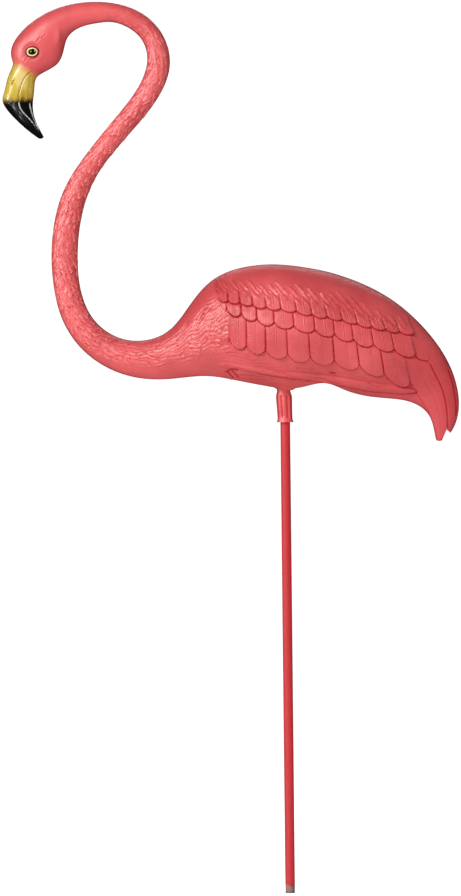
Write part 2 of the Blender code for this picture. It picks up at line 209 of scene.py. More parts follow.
# The long quill feathers of the tail: the lowest one's front edge and reach, and the lines between them
QUILL_FRONT = ((88, 33), (97, 16), (107, -3), (118, -20))
QUILL_TOP = 34
QUILL_REACH = 14
QUILL_LINES = (
    ((106.6, 27), (108.5, 23.5), (112, 21.8), (118, 21)),
    ((118, 21), (124, 9), (129, -2), (132, -14), (133.3, -35)),
    ((133.5, 15), (137, 5), (139.3, -7), (140.3, -16), (140, -25)),
)
FINE_QUILL_LINES = (
    ((102, -3), (113, -10), (118, -22), (121, -36)),
    ((110, 12), (120, -4), (126, -20), (128, -34)),
)
QUILL_LIFT = 0.7
QUILL_SHADE = 0.6
QUILL_STEP = 0.5
QUILL_GROOVE = 0.35
FINE_QUILL_GROOVE = 0.3
NOTCH_WIDTH = 0.04
TAIL_NOTCH = ((134.9, -37.6), (132.2, -35.2), (128.4, -44.2), (138.0, -49.0))

# The folded leg: its line, then half width and share of its full height at shares of its length
LEG_LINE = (
    *((-52, 19.3), (-33, 16.7), (-12, 12.6), (13, 9.9)),
    *((37.4, 6.7), (70, 0.4), (99, -2.6), (106.5, -3.6)),
)
LEG_SHAPE = (
    *((0.0, 1.4, 0.2), (0.12, 1.6, 0.4), (0.25, 2.0, 0.65), (0.42, 2.6, 0.9)),
    *((0.75, 3.4, 1.0), (0.94, 3.3, 0.95), (1.0, 1.0, 0.6)),
)
TOES = (((-47.6, 12.9), (-44.2, 9.0)), ((-44.6, 13.9), (-40.0, 9.2)), ((-40.6, 14.6), (-35.6, 9.9)))
TOE_CUTS = (((-46.2, 13.6), (-42.6, 9.2)), ((-43.2, 14.9), (-38.0, 9.6)))
TOE_SHADE = ((-48.4, 13.6), (-44.6, 15.6), (-38.6, 15.4))
BELLY_PIT = ((36.5, 12.2), (41.0, 11.6))
# Toe, cut and rib sizes in millimetres; painted shade fills the toes' arch, the cuts and the leg's rims
# below and above, and painted highlights the crests
TOE_SHADE_DEPTH = 0.9
TOE_HEIGHT = 1.0
TOE_HALF_WIDTH = 1.5
TOE_CREST = 1.4
CUT_WIDTH = 0.8
CUT_DEPTH = 1.3
LEG_CREST = 0.35
LEG_RIM_SHADES = (1.6, 0.7)
LEG_RIB = 0.25
LEG_RIB_SPACING = 2.1
LEG_RIB_PLACES = ((-6, 16), (80, 14))

EYE = (-204.0, 277.2)
EYE_RADIUS = 5.1
EYE_HOLLOW_WIDTH = 1.6
EYE_HOLLOW = 0.9
EYE_DOME = 1.6
EYE_LINE = 0.25
MOUTH_LINE = (
    (-203, 262),
    (-208, 259),
    (-213, 251),
    (-215.5, 242),
    (-215, 234),
    (-211, 227),
    (-203, 218),
    (-198, 211),
)
# Ridges on the black tip, raised and with dotted painted highlights along them
BILL_RIDGES = (
    ((-215.8, 237.8), (-214.5, 232.1), (-211.2, 227.1), (-206.4, 222.1), (-201.5, 215.5), (-198.3, 211.4)),
    ((-206.6, 237.1), (-206.3, 232.0), (-205.5, 228.7), (-203.9, 223.7), (-200.7, 216.3), (-197.5, 212.2)),
)
# The line of the pale grey streaks on the front of the black tip, which are painted highlights
GLEAM_STREAK_LINE = ((-223.0, 238.5), (-218.6, 232.1), (-213.7, 224.7), (-208.9, 218.9), (-203.0, 213.0))
NECK_STREAKS = (
    (
        *((-117.0, 299.9), (-108.8, 294.1), (-102.4, 285.8), (-98.8, 276.7)),
        *((-97.6, 266.9), (-98.6, 257.1), (-102.0, 245.6)),
    ),
    ((-108.9, 288.3), (-104.5, 278.5), (-102.6, 267.8), (-103.5, 255.5), (-106.9, 244.0), (-112.0, 232.6)),
)
FOREHEAD_LINE = ((-219, 269), (-212, 267), (-206, 264.5), (-201, 259))
NOSTRIL = ((-219.0, 254.7), (-222.0, 250.5))
EYE_WRINKLES = (
    ((-201.0, 284.5), (-197.0, 289.5)),
    ((-196.5, 288.0), (-192.5, 291.5)),
    ((-207.5, 273.5), (-210.5, 269.0)),
)
CHEEK_RIDGE = ((-181.8, 298.1), (-182.7, 290.8), (-184.0, 281.8))
# Heights in millimetres of the cheek, the bill's ridges and the neck's streaks, and the strengths of the
# painted highlights on the cheek, the black tip's streaks and the neck's streaks
CHEEK_HEIGHT = 1.2
CHEEK_CREST = 0.3
BILL_RIDGE = 0.45
GLEAM_STREAK_CREST = 0.5
STREAK_HEIGHT = 0.3
STREAK_CREST = 0.55

# Lines cut into the head: their points, depth, width, and the height of the lips beside them
HEAD_LINES = (
    (MOUTH_LINE, 0.75, 0.55, 0.30),
    (FOREHEAD_LINE, 0.15, 1.6, 0.0),
    (NOSTRIL, 0.8, 0.55, 0.15),
    *((points, 0.35, 0.5, 0.25) for points in EYE_WRINKLES),
)

# Where the head's carving ends on the neck, by height and along the spine, where the bill's black begins,
# where the body begins, where its breast meets the wing, and where the neck's streaks end
HEAD_BOTTOM = 195
HEAD_END = 200
HEAD_BLACK = 238
BODY_FRONT = -120
BREAST_START = 480
STREAK_END = 260

# The ridge along the middle plane, and the fillet round the root of the sleeve, in millimetres
SEAM_HEIGHT = 0.22
SEAM_WIDTH = 0.55
# How strongly painted shade darkens the smooth band of the breast beside the back's ridge
SMOOTH_SHADE = 0.3
FILLET = 1.4
FILLET_REACH = (5.5, 9.5)

# Small feathers of the neck and breast: distance along the spine, length, width and height of one there
TUFT_STATIONS = (
    (140, 13.0, 3.0, 0.00),
    (185, 13.0, 3.0, 0.40),
    (215, 11.0, 3.8, 0.85),
    (330, 9.0, 4.3, 1.00),
    (470, 9.0, 4.3, 1.00),
    (530, 16.0, 3.6, 1.05),
    (600, 18.0, 3.6, 1.10),
    (660, 10.5, 3.4, 0.55),
    (760, 10.5, 3.4, 0.30),
)
TUFT_OVERLAP = 0.62
# Their sway as size, length, turns and shift, and their rows' wave as size and lengths across and along
TUFT_SWAY = ((0.9, 3.1, 9, 0.0), (0.7, 7.3, 23, 1.3))
TUFT_ROW_WAVE = (0.35, 2.3, 11.0)
# One small feather, in rows: how much its tip varies, how round it is, over how many rows it falls away,
# how dark the painted shade of its outline is, the reach of its tip's painted highlight and of its painted
# shadow, how much painted highlight all get, and the height from which they have their full painted shading
TUFT_TIP_SPREAD = 0.7
TUFT_ROUNDNESS = 0.85
TUFT_FALL = 2.4
TUFT_OUTLINE = 0.9
TUFT_CREST = 0.55
TUFT_SHADOW = 0.24
TUFT_PALER = 0.12
TUFT_FULL = 0.6
# Where the small feathers begin beside the back's ridge and end beside the belly's: degrees round the spine
TUFT_START = ((420, 4, 22), (540, 34, 62))
TUFT_END = ((440, 150, 172), (520, 96, 136))

# The sleeve's outline from its mouth up: share of its length, and swell as a share of the widest
SLEEVE_PROFILE = (
    (0.0, 0.4),
    (0.03, 0.1),
    (0.08, -0.5),
    (0.14, -0.7),
    (0.3, -0.6),
    (0.5, -0.3),
    (0.66, -0.05),
    (0.74, 0.0),
    (0.82, -0.6),
    (0.88, -1.3),
    (0.93, -1.6),
    (1.0, -1.0),
)
SLEEVE_LEVELS = (
    *(0, 0.03, 0.055, 0.08, 0.11, 0.14, 0.18, 0.24, 0.3, 0.4, 0.5),
    *(0.58, 0.66, 0.7, 0.74, 0.78, 0.82, 0.85, 0.88, 0.93, 1),
)
SLEEVE_ROOT = 0.0085
SLEEVE_CLEARANCE = 0.0003
SLEEVE_LEAN = 0.0011
FLUTES = 8
FLUTE_START = (0.08, 0.2)
FLUTE_END = (0.74, 0.86)
POINTS_A_FLUTE = 12
ROD_SIDES = 64

# The painted shade in the flutes: how deep in the wave round the sleeve it begins and is full, how strong it
# is, and between which distances from the sleeve's axis, in millimetres, the belly takes over
FLUTE_SHADE_SPAN = (-0.35, -0.9)
FLUTE_SHADE = 0.75
SLEEVE_REACH = (9.0, 10.0)

# The stake: the rounding of its sawn end and of its other edges, the steps of its painted length, the
# paint's edge as heights above the bare end with the share of its ragged wave there, and that wave as
# counts round the stake, shifts and sizes
SAWN_EDGE = 0.00035
STAKE_EDGE = 0.0004
STAKE_STEPS = 24
PAINT_EDGE = ((0.00025, 1.0), (0.004, 0.3), (0.012, 0.0))
PAINT_WAVES = ((2, 0.7, 1.0), (5, 0.0, 0.5), (11, 1.9, 0.35))
PAINT_WAVE_HEIGHT = 0.00032
# The grey that the bare wood takes on towards its sawn end
GREY_WOOD_END = (0.30, 0.26, 0.24, 1.0)

# The plastic's fixed colours, among them the pink and the grey of painted highlights, and how strongly
# painted shade darkens hollows, the tail and the middle plane and how strongly painted highlights lighten
# crests
HIGHLIGHT_PINK = (1.0, 0.28, 0.26, 1.0)
PALE_YELLOW = (0.90, 0.72, 0.30, 1.0)
DEEP_YELLOW = (0.36, 0.20, 0.010, 1.0)
ORANGE = (0.84, 0.24, 0.12, 1.0)
GLEAM = (0.80, 0.80, 0.82, 1.0)
HOLLOW_SHADE = 0.9
CREST_HIGHLIGHT = 0.75
TAIL_SHADE = 0.35
MIDPLANE_SHADE = 0.7
MIDPLANE_SHADE_REACH = (0.0042, 0.0012)

# The sprayed bill: the lines where its yellow and its black begin, how soft they are, and the middle of
# its painted highlight, with how much each millimetre counts towards the highlight's edge
BILL_EDGE = ((-201.1, 257.6), (-218.6, 268.2))
TIP_EDGE = ((-201.0, 239.0), (-230.0, 238.0))
SPRAY_BLUR = 4.6
TIP_BLUR = 2.6
HIGHLIGHT_PATCH = ((-213.5, 257.0), (0.16, 0.085))

# The painted eye: how much wider than tall it is, its rings from the outside in as radius, softness and
# colour, and its two lights as place, radius and colour
EYE_OVAL = 1.28
EYE_RINGS = (
    (4.60, 0.30, (0.110, 0.010, 0.008, 1.0)),
    (3.55, 0.20, (0.98, 0.78, 0.35, 1.0)),
    (2.55, 0.18, (0.006, 0.005, 0.004, 1.0)),
)
EYE_LIGHTS = (
    ((-1.0, 0.3), 0.55, (0.50, 0.44, 0.16, 1.0)),
    ((2.1, 0.6), 0.4, (0.9, 0.8, 0.5, 1.0)),
)
EYE_LIGHT_EDGE = 0.2

# The fine texture of feathers and plastic, with heights in millimetres
BARB_SLANT = math.radians(45)
BARB_HEIGHT = 0.10
SHAFT_HEIGHT = 0.13
SHAFT_GROOVE = 0.11
GRAIN_HEIGHT = 0.30
PEBBLE_HEIGHT = 0.10
UNEVEN_HEIGHT = 0.55

# The stage: a round white floor whose rim curves up into a wall
WALL_RADIUS = 20.0
WALL_HEIGHT = 20.0
COVE = 2.0
COVE_STEPS = 13
BOWL_SIDES = 96

# The photograph's frame: its size, the size of one of its pixels at the bird, its middle and its tilt
PICTURE_HEIGHT = 896
PIXEL = 0.00082
PICTURE_MIDDLE = (-0.0451, 0.0, 0.3654)
PICTURE_TILT = 0.01064


class BirdSettings(bpy.types.PropertyGroup):
    """Sizes of the moulded bird's relief and its colours."""

    sleeve_length: bpy.props.FloatProperty(
        name="Sleeve length",
        description="From the sleeve's mouth to the belly",
        default=0.028,
        unit="LENGTH",
    )
    sleeve_wall: bpy.props.FloatProperty(
        name="Sleeve wall",
        description="Thickness of the sleeve round the stake",
        default=0.0023,
        unit="LENGTH",
    )
    sleeve_swell: bpy.props.FloatProperty(
        name="Sleeve swell",
        description="How far the mouth flares and the waist pulls in",
        default=0.0007,
        unit="LENGTH",
    )
    flute_depth: bpy.props.FloatProperty(
        name="Flute depth", description="Depth of the sleeve's flutes", default=0.0009, unit="LENGTH"
    )
    feather_step: bpy.props.FloatProperty(
        name="Feather step",
        description="Height of a wing feather's tip above the next row",
        default=0.0015,
        unit="LENGTH",
    )
    tuft_height: bpy.props.FloatProperty(
        name="Neck feathers",
        description="Share of the full height of the small neck feathers",
        default=1.0,
        subtype="FACTOR",
    )
    leg_height: bpy.props.FloatProperty(
        name="Leg height",
        description="Height of the folded leg on the belly",
        default=0.0026,
        unit="LENGTH",
    )
    barb_spacing: bpy.props.FloatProperty(
        name="Barb spacing",
        description="Distance between the fine barbs on a feather",
        default=0.0014,
        unit="LENGTH",
    )
    pink: bpy.props.FloatVectorProperty(
        name="Pink",
        description="Colour of the plastic",
        subtype="COLOR",
        size=4,
        default=(0.82, 0.098, 0.104, 1.0),
    )
    # Random mottling of the plastic, and the colour of painted shade in hollows and flutes, on the tail and
    # along the middle plane
    mottle_and_shade_pink: bpy.props.FloatVectorProperty(
        name="Deep pink",
        description="Plastic in hollows",
        subtype="COLOR",
        size=4,
        default=(0.44, 0.006, 0.018, 1.0),
    )
    yellow: bpy.props.FloatVectorProperty(
        name="Yellow",
        description="Paint on the bill",
        subtype="COLOR",
        size=4,
        default=(0.66, 0.46, 0.045, 1.0),
    )
    black: bpy.props.FloatVectorProperty(
        name="Black",
        description="Paint on the bill's tip",
        subtype="COLOR",
        size=4,
        default=(0.005, 0.005, 0.005, 1.0),
    )


class StakeSettings(bpy.types.PropertyGroup):
    """Sizes and colours of the wooden stake."""

    bare_end: bpy.props.FloatProperty(
        name="Bare end",
        description="Length of unpainted wood at the lower end",
        default=0.0065,
        unit="LENGTH",
    )
    paint_thickness: bpy.props.FloatProperty(
        name="Paint thickness",
        description="How far the paint stands off the wood",
        default=0.00012,
        unit="LENGTH",
    )
    crimson: bpy.props.FloatVectorProperty(
        name="Crimson",
        description="Paint on the stake",
        subtype="COLOR",
        size=4,
        default=(0.70, 0.026, 0.034, 1.0),
    )
    wood: bpy.props.FloatVectorProperty(
        name="Wood",
        description="Bare wood of the sawn end",
        subtype="COLOR",
        size=4,
        default=(0.70, 0.38, 0.33, 1.0),
    )


class StageSettings(bpy.types.PropertyGroup):
    """Floor, lights and camera round the ornament."""

    camera_distance: bpy.props.FloatProperty(
        name="Camera distance", description="From the bird's middle plane", default=6.0, unit="LENGTH"
    )
    key_power: bpy.props.FloatProperty(
        name="Key light",
        description="Power of the soft light in front and to the left",
        default=60.0,
        unit="POWER",
    )
    fill_power: bpy.props.FloatProperty(
        name="Fill light",
        description="Power of the wide light round the camera",
        default=26.5,
        unit="POWER",
    )
    low_power: bpy.props.FloatProperty(
        name="Floor light",
        description="Power of the light that the floor throws up",
        default=30.0,
        unit="POWER",
    )
    side_power: bpy.props.FloatProperty(
        name="Side strip",
        description="Power of the strip on the left that only shows in the gloss",
        default=45.0,
        unit="POWER",
    )
    back_power: bpy.props.FloatProperty(
        name="Back light",
        description="Power of the strip light above and behind",
        default=5.0,
        unit="POWER",
    )
    surround: bpy.props.FloatProperty(
        name="Surround", description="Brightness of the dim room round the ornament", default=0.12
    )


def natural_spline(knots, values, at):
    """Natural cubic spline through the rows of values at the knots."""
    count = len(knots)
    gap = np.diff(knots)
    system = np.eye(count)
    right = np.zeros((count, values.shape[1]))
    for i in range(1, count - 1):
        system[i, i - 1 : i + 2] = gap[i - 1], 2 * (gap[i - 1] + gap[i]), gap[i]
        right[i] = 6 * ((values[i + 1] - values[i]) / gap[i] - (values[i] - values[i - 1]) / gap[i - 1])
    bend = np.linalg.solve(system, right)
    i = np.clip(np.searchsorted(knots, at, side="right") - 1, 0, count - 2)
    width = gap[i][:, None]
    done = (at - knots[i])[:, None]
    left = (knots[i + 1] - at)[:, None]
    cubic = (bend[i] * left**3 + bend[i + 1] * done**3) / (6 * width)
    from_left = (values[i] / width - bend[i] * width / 6) * left
    return cubic + from_left + (values[i + 1] / width - bend[i + 1] * width / 6) * done


SECTION_ROWS = np.array(SECTIONS)
SECTION_STEPS = sum(np.linalg.norm(np.diff(SECTION_ROWS[:, k : k + 2], axis=0), axis=1) / 2 for k in (0, 2))
SECTION_KNOTS = np.concatenate(([0.0], np.cumsum(SECTION_STEPS)))
SPINE_LENGTH = SECTION_KNOTS[-1]
HALF_GIRTHS = np.hypot(*(SECTION_ROWS[:, 0:2] - SECTION_ROWS[:, 2:4]).T) / 2 + SECTION_ROWS[:, 4]
GIRTHS = (SECTION_KNOTS, math.pi * HALF_GIRTHS)


def running_count(stations):
    """Closely read distances along the spine, and how many steps of the stations' spacing lead there."""
    along = np.linspace(0.0, SPINE_LENGTH, SPINE_READINGS)
    spacing = np.interp(along, *zip(*stations))
    return along, np.concatenate(([0.0], np.cumsum(np.diff(along) / spacing[1:])))


def form(along, angle):
    """Points of the plain form, in drawn millimetres: an elliptical ring at each place along the spine."""
    rows = natural_spline(SECTION_KNOTS, SECTION_ROWS, along)
    back, belly, half_width = rows[:, 0:2], rows[:, 2:4], rows[:, 4]
    from_bill = np.clip(along / BILL_ROUNDING, 0, 1)
    from_tail = np.clip((SPINE_LENGTH - along) / TAIL_ROUNDING, 0, 1)
    size = np.sqrt(1 - (1 - from_bill) ** 2) * np.sqrt(1 - (1 - from_tail) ** 2)
    side = (back + belly) / 2 + (back - belly) / 2 * (np.cos(angle) * size)[:, None]
    return np.column_stack((side[:, 0], half_width * np.sin(angle) * size, side[:, 1]))


def fade(low, high, value):
    """Smooth step from 0 at low to 1 at high."""
    share = np.clip((value - low) / (high - low), 0.0, 1.0)
    return share * share * (3 - 2 * share)


def band(start, full, ending, end, value):
    """Smooth step from 0 up to 1 and down to 0 again."""
    return fade(start, full, value) * (1 - fade(ending, end, value))


def bell(value, width):
    """1 where the value is 0, falling to a third at the width."""
    return np.exp(-((value / width) ** 2))


def dome(value, width):
    """1 where the value is 0, falling round to 0 at the width."""
    return np.clip(1 - (value / width) ** 2, 0, 1)


def scatter(*numbers):
    """A fixed random share between 0 and 1 for each set of whole numbers."""
    mixed = sum(number * factor for number, factor in zip(numbers, (12.9898, 78.233, 37.719)))
    return np.mod(np.sin(mixed) * 43758.5453, 1.0)


def curve_through(points):
    """Evenly read points of a smooth curve through a few chosen ones."""
    rows = np.array(points, dtype=float)
    knots = np.concatenate(([0.0], np.cumsum(np.linalg.norm(np.diff(rows, axis=0), axis=1))))
    return natural_spline(knots, rows, np.linspace(0.0, knots[-1], LINE_READINGS))


def line_distance(x, z, points, reach=16.0):
    """Distance of each place to a curve, to its right as positive, and the share of its length there."""
    line = curve_through(points)
    low, high = line.min(axis=0) - reach, line.max(axis=0) + reach
    near = np.flatnonzero((x > low[0]) & (x < high[0]) & (z > low[1]) & (z < high[1]))
    away = np.full(x.shape, 2 * reach)
    share = np.zeros(x.shape)
    for i, (start, end) in enumerate(zip(line[:-1], line[1:])):
        run = end - start
        from_x, from_z = x[near] - start[0], z[near] - start[1]
        part = np.clip((from_x * run[0] + from_z * run[1]) / (run @ run), 0.0, 1.0)
        gap = np.hypot(from_x - part * run[0], from_z - part * run[1])
        side = np.where(from_x * run[1] - from_z * run[0] > 0, 1.0, -1.0)
        closer = gap < np.abs(away[near])
        away[near] = np.where(closer, gap * side, away[near])
        share[near] = np.where(closer, (i + part) / (len(line) - 1), share[near])
    return away, share


def with_ends(row):
    """A row's tips, with one more place beyond each end."""
    tips = np.array(row["tips"])
    return np.vstack((2 * tips[0] - tips[1], tips, 2 * tips[-1] - tips[-2]))


def tip_height(row, at):
    """Height of the line through a row's tips."""
    tips = with_ends(row)
    return natural_spline(tips[:, 0], tips[:, 1:], np.clip(at, tips[0, 0], tips[-1, 0]))[:, 0]


def feather_places(x, z, row):
    """Each place's share across its feather, the width, millimetres above the edge, and two masks."""
    tips = with_ends(row)[:, 0]
    lean = row["lean"] + row["fan"] * np.clip((x - tips[0]) / (tips[-1] - tips[0]), 0, 1) ** 2
    foot = x + lean * (z - tip_height(row, x))
    number = np.interp(foot, tips, np.arange(len(tips)) - 1.0)
    nearest = np.round(number)
    across = np.clip(2 * (number - nearest), -1, 1)
    width = np.interp(nearest, np.arange(len(tips) - 1) - 1.0, np.diff(tips))
    above = z - tip_height(row, foot) - row["rise"] * (1 - np.sqrt(1 - across**2))
    last = len(row["tips"]) - 1
    masks = ((1 - fade(*end, -number)) * (1 - fade(*end, number - last)) for end in (ROW_END, GAP_END))
    return across, width, above, *masks


def feather_row(x, z, row, step):
    """A row's cover, its height in millimetres, the dips round its feathers, and their painted shade and
    highlights.
    """
    across, width, above, inside, gaps = feather_places(x, z, row)
    covers = fade(-FEATHER_EDGE, FEATHER_EDGE, above) * inside
    lift = np.clip(1 - above / row["length"], 0, 1)
    to_gap = (1 - np.abs(across)) * width / 2
    gap = bell(to_gap, GAP_WIDTH) * fade(-1.0, 1.0, above) * np.clip(lift * 1.5, 0, 1) * gaps
    rim = bell(above - 0.9, 0.8) * RIM_HEIGHT
    height = step * lift + FEATHER_BULGE * lift * (1 - across**2) + FEATHER_TWIST * across * lift
    height += rim - GAP_DEPTH * gap
    under_edge = bell(above + 0.40, 0.68) * inside
    cusp = bell(to_gap, CUSP_WIDTH) * bell(above + 0.6, CUSP_WIDTH) * inside
    shade = np.maximum(gap * covers, np.maximum(cusp, under_edge))
    shade -= RIM_CREST * bell(above - 1.1, 0.7) * covers
    return covers, height, EDGE_DIP * under_edge + CUSP_DIP * cusp, shade


def flames(x, z, row):
    """Height of the small curved feathers that run up from the highest row."""
    over = z - tip_height(row, x)
    first, last = row["tips"][0][0], row["tips"][-1][0]
    along = x + FLAME_SLANT * over + FLAME_CURVE * np.clip(over, 0, FLAME_REACH) ** 2
    to_end = fade(last - FLAME_FALL_LENGTH, last, x)
    height = np.zeros(x.shape)
    for shift, start, end, tall in FLAME_LAYERS:
        number = (along - first) / FLAME_SPACING + shift
        nearest = np.round(number)
        across = 2 * (number - nearest)
        seed = 8 * shift
        top = end - FLAME_SPREAD[0] * scatter(nearest, 3 + seed) - FLAME_FALL[0] * to_end
        bottom = start + FLAME_SPREAD[1] * scatter(nearest, 5 + seed) - FLAME_FALL[1] * to_end
        up = np.clip((over - bottom) / (top - bottom), 0.0, 1.0)
        half = np.sqrt(1.0 - up) * (FLAME_HALF[0] + FLAME_HALF[1] * scatter(nearest, 9 + seed))
        to_crest = (half - across) / np.maximum(2 * half, 0.05)
        ridge = fade(0.0, 0.12, to_crest) * np.clip(1 - to_crest, 0, 1) ** 0.8
        shown = band(0.0, 0.25, 0.92, 1.0, up) * band(first - 8, first, last - 4, last + 3, x)
        height = np.maximum(height, tall * ridge * shown)
    return height


def tuft_relief(along, angle, girth):
    """Height of the small wavy neck feathers, in millimetres, and their painted shade and painted
    highlights.
    """
    places, lengths, widths, heights = zip(*TUFT_STATIONS)
    spacings = [length * TUFT_OVERLAP for length in lengths]
    readings, rows_there = running_count(tuple(zip(places, spacings)))
    tall = np.interp(along, places, heights)
    turn = np.abs(angle) / (2 * math.pi)
    sway = np.zeros(along.shape)
    for size, length, turns, shift in TUFT_SWAY:
        sway += size * np.sin(along / length + turns * turn + shift)
    size, length_across, length_along = TUFT_ROW_WAVE
    row = np.interp(along, readings, rows_there)
    row += size * np.sin(turn * girth / length_across + along / length_along)
    shape = np.zeros(along.shape)
    shade = np.zeros(along.shape)
    open_places = np.ones(along.shape, dtype=bool)
    for ahead in (0, 1, 2):
        k = np.ceil(row) + ahead
        place_there = np.interp(k, rows_there, readings)
        fitting = np.interp(place_there, *GIRTHS) / np.interp(place_there, places, widths)
        columns = np.maximum(6.0, np.round(fitting))
        column = (turn + sway / girth) * columns + 0.5 * np.mod(k, 2) + 0.5 * scatter(k, 7)
        nearest = np.round(column)
        across = np.abs(2 * (column - nearest))
        tip = k + TUFT_TIP_SPREAD * (scatter(k, nearest, 5) - 0.5)
        inside = tip - row - TUFT_ROUNDNESS * across**1.5
        tall_here = 0.6 + 0.8 * scatter(k, nearest, 11)
        here = tall_here * np.clip(1 - inside / TUFT_FALL, 0, 1) * (1 - 0.75 * across**2.5)
        here *= fade(0.0, 0.08, inside)
        covered = open_places & (inside > 0)
        # Painted shade along each small feather's outline, a painted highlight at its tip, and painted
        # shadow under the tip above
        outline = TUFT_OUTLINE * fade(0.78, 1.0, across) * (1 - fade(0.9, 1.8, inside))
        outline_and_tip_shading = outline - tall_here * (1 - fade(0.0, TUFT_CREST, inside))
        under = open_places & (inside <= 0)
        shade = np.where(covered, np.maximum(shade, 0) + outline_and_tip_shading, shade)
        shade = np.where(under, np.maximum(shade, np.clip(1 + inside / TUFT_SHADOW, 0, 1)), shade)
        shape = np.where(covered, here, shape)
        open_places &= ~covered
    return shape * tall, np.clip(shade - TUFT_PALER, -1, 1) * np.minimum(1.0, tall / TUFT_FULL)


def wing_relief(x, z, settings):
    """Height, painted shade and highlights of the feathers on wings and tail, and how much of the plain form
    they cover.
    """
    step = settings.feather_step / MM
    line = curve_through(QUILL_FRONT)
    behind = x - np.interp(-z, -line[:, 1], line[:, 0])
    covered = fade(-0.35, 0.35, behind) * (1 - fade(QUILL_TOP - QUILL_REACH, QUILL_TOP, z))
    height = QUILL_LIFT * covered * np.exp(-np.clip(behind, 0, None) / QUILL_REACH)
    painted_shade = QUILL_SHADE * bell(behind + 0.5, 0.6) * (1 - fade(QUILL_TOP - 2 * QUILL_REACH, QUILL_TOP, z))
    for row in FEATHER_ROWS:
        covers, lift, dip, dark = feather_row(x, z, row, step)
        height = (height - dip) * (1 - covers) + lift * covers
        covered = np.maximum(covered, covers)
        painted_shade = np.maximum(painted_shade * (1 - covers), dark)
    points_up = flames(x, z, FEATHER_ROWS[-1])
    height += points_up
    above_row = fade(4, 9, z - tip_height(FEATHER_ROWS[-1], x))
    # Painted highlights on the flames' crests and painted shade round their outlines
    crested = painted_shade * (1 - above_row) - FLAME_CREST * fade(0.4, 0.85, points_up)
    painted_shade = np.where(points_up > 0.02, crested, painted_shade)
    outline = bell(points_up - 0.10, 0.10) * above_row * (points_up > 0.01)
    painted_shade = np.maximum(painted_shade, FLAME_OUTLINE * outline)
    below = tip_height(FEATHER_ROWS[0], x) - z
    low_band = fade(2, 5, below) * band(-60, -45, 70, 90, x) * (1 - covered)
    waves = np.sin(2.4 * (z + 0.13 * x) + 1.6 * np.sin(x / 5.5) + 0.9 * np.sin(x / 2.3 + z / 3.0))
    waves *= 0.35 + 0.65 * np.sin(x / 9.0 + z / 4.0 + 2.0) ** 2
    height += WAVE_HEIGHT * waves * low_band
    painted_shade = np.maximum(painted_shade, WAVE_SHADE * fade(0.1, 0.8, -waves) * low_band)
    for points in QUILL_LINES:
        away, share = line_distance(x, z, points)
        ends = band(0.0, 0.06, 0.97, 1.0, share)
        step_there = QUILL_STEP * fade(0.4, -0.4, away) * np.exp(-np.abs(away) / 5.0)
        height += ends * (step_there - QUILL_GROOVE * bell(away, 0.6))
        painted_shade = np.maximum(painted_shade, 0.95 * ends * bell(away - 0.3, 0.8))
    for points in FINE_QUILL_LINES:
        away, share = line_distance(x, z, points)
        height -= FINE_QUILL_GROOVE * bell(away, 0.6) * band(0.0, 0.2, 0.8, 1.0, share)
    return height, painted_shade, covered


def leg_relief(x, z, settings):
    """Height of the folded leg along the belly and of the toes at its front, and their painted shade and
    highlights.
    """
    away, share = line_distance(x, z, LEG_LINE)
    shares, halves, heights = zip(*LEG_SHAPE)
    half = np.interp(share, shares, halves)
    round_leg = dome(away, half)
    leg = settings.leg_height / MM * np.interp(share, shares, heights) * round_leg**0.6
    ribbed = sum(bell(x - place, reach) for place, reach in LEG_RIB_PLACES) * fade(0.2, 1.0, leg)
    height = leg + LEG_RIB * np.sin(x * 2 * math.pi / LEG_RIB_SPACING) * ribbed
    # Painted shade along the leg's edges, stronger below it, and a painted highlight along its top
    rim = bell(np.abs(away) - half - 0.4, 0.6) * (np.abs(away) > half * 0.9)
    rim *= np.where(away > 0, *LEG_RIM_SHADES)
    painted_highlight = LEG_CREST * round_leg * fade(0.0, 0.1, share)
    painted_shade = rim * (0.65 + 0.35 * fade(0.93, 1.0, share)) * fade(0.05, 0.3, share) - painted_highlight
    shade, _ = line_distance(x, z, TOE_SHADE)
    height -= TOE_SHADE_DEPTH * bell(shade, CUT_WIDTH)
    painted_shade = np.maximum(painted_shade, bell(shade, CUT_WIDTH))
    for points in TOES:
        toe, _ = line_distance(x, z, points)
        height = np.maximum(height, TOE_HEIGHT * np.sqrt(dome(toe, TOE_HALF_WIDTH)))
        painted_shade -= TOE_CREST * bell(toe, 0.7)
    for points in (*TOE_CUTS, BELLY_PIT):
        cut, _ = line_distance(x, z, points)
        height -= CUT_DEPTH * bell(cut, CUT_WIDTH)
        painted_shade = np.maximum(painted_shade, bell(cut, CUT_WIDTH))
    return height, painted_shade


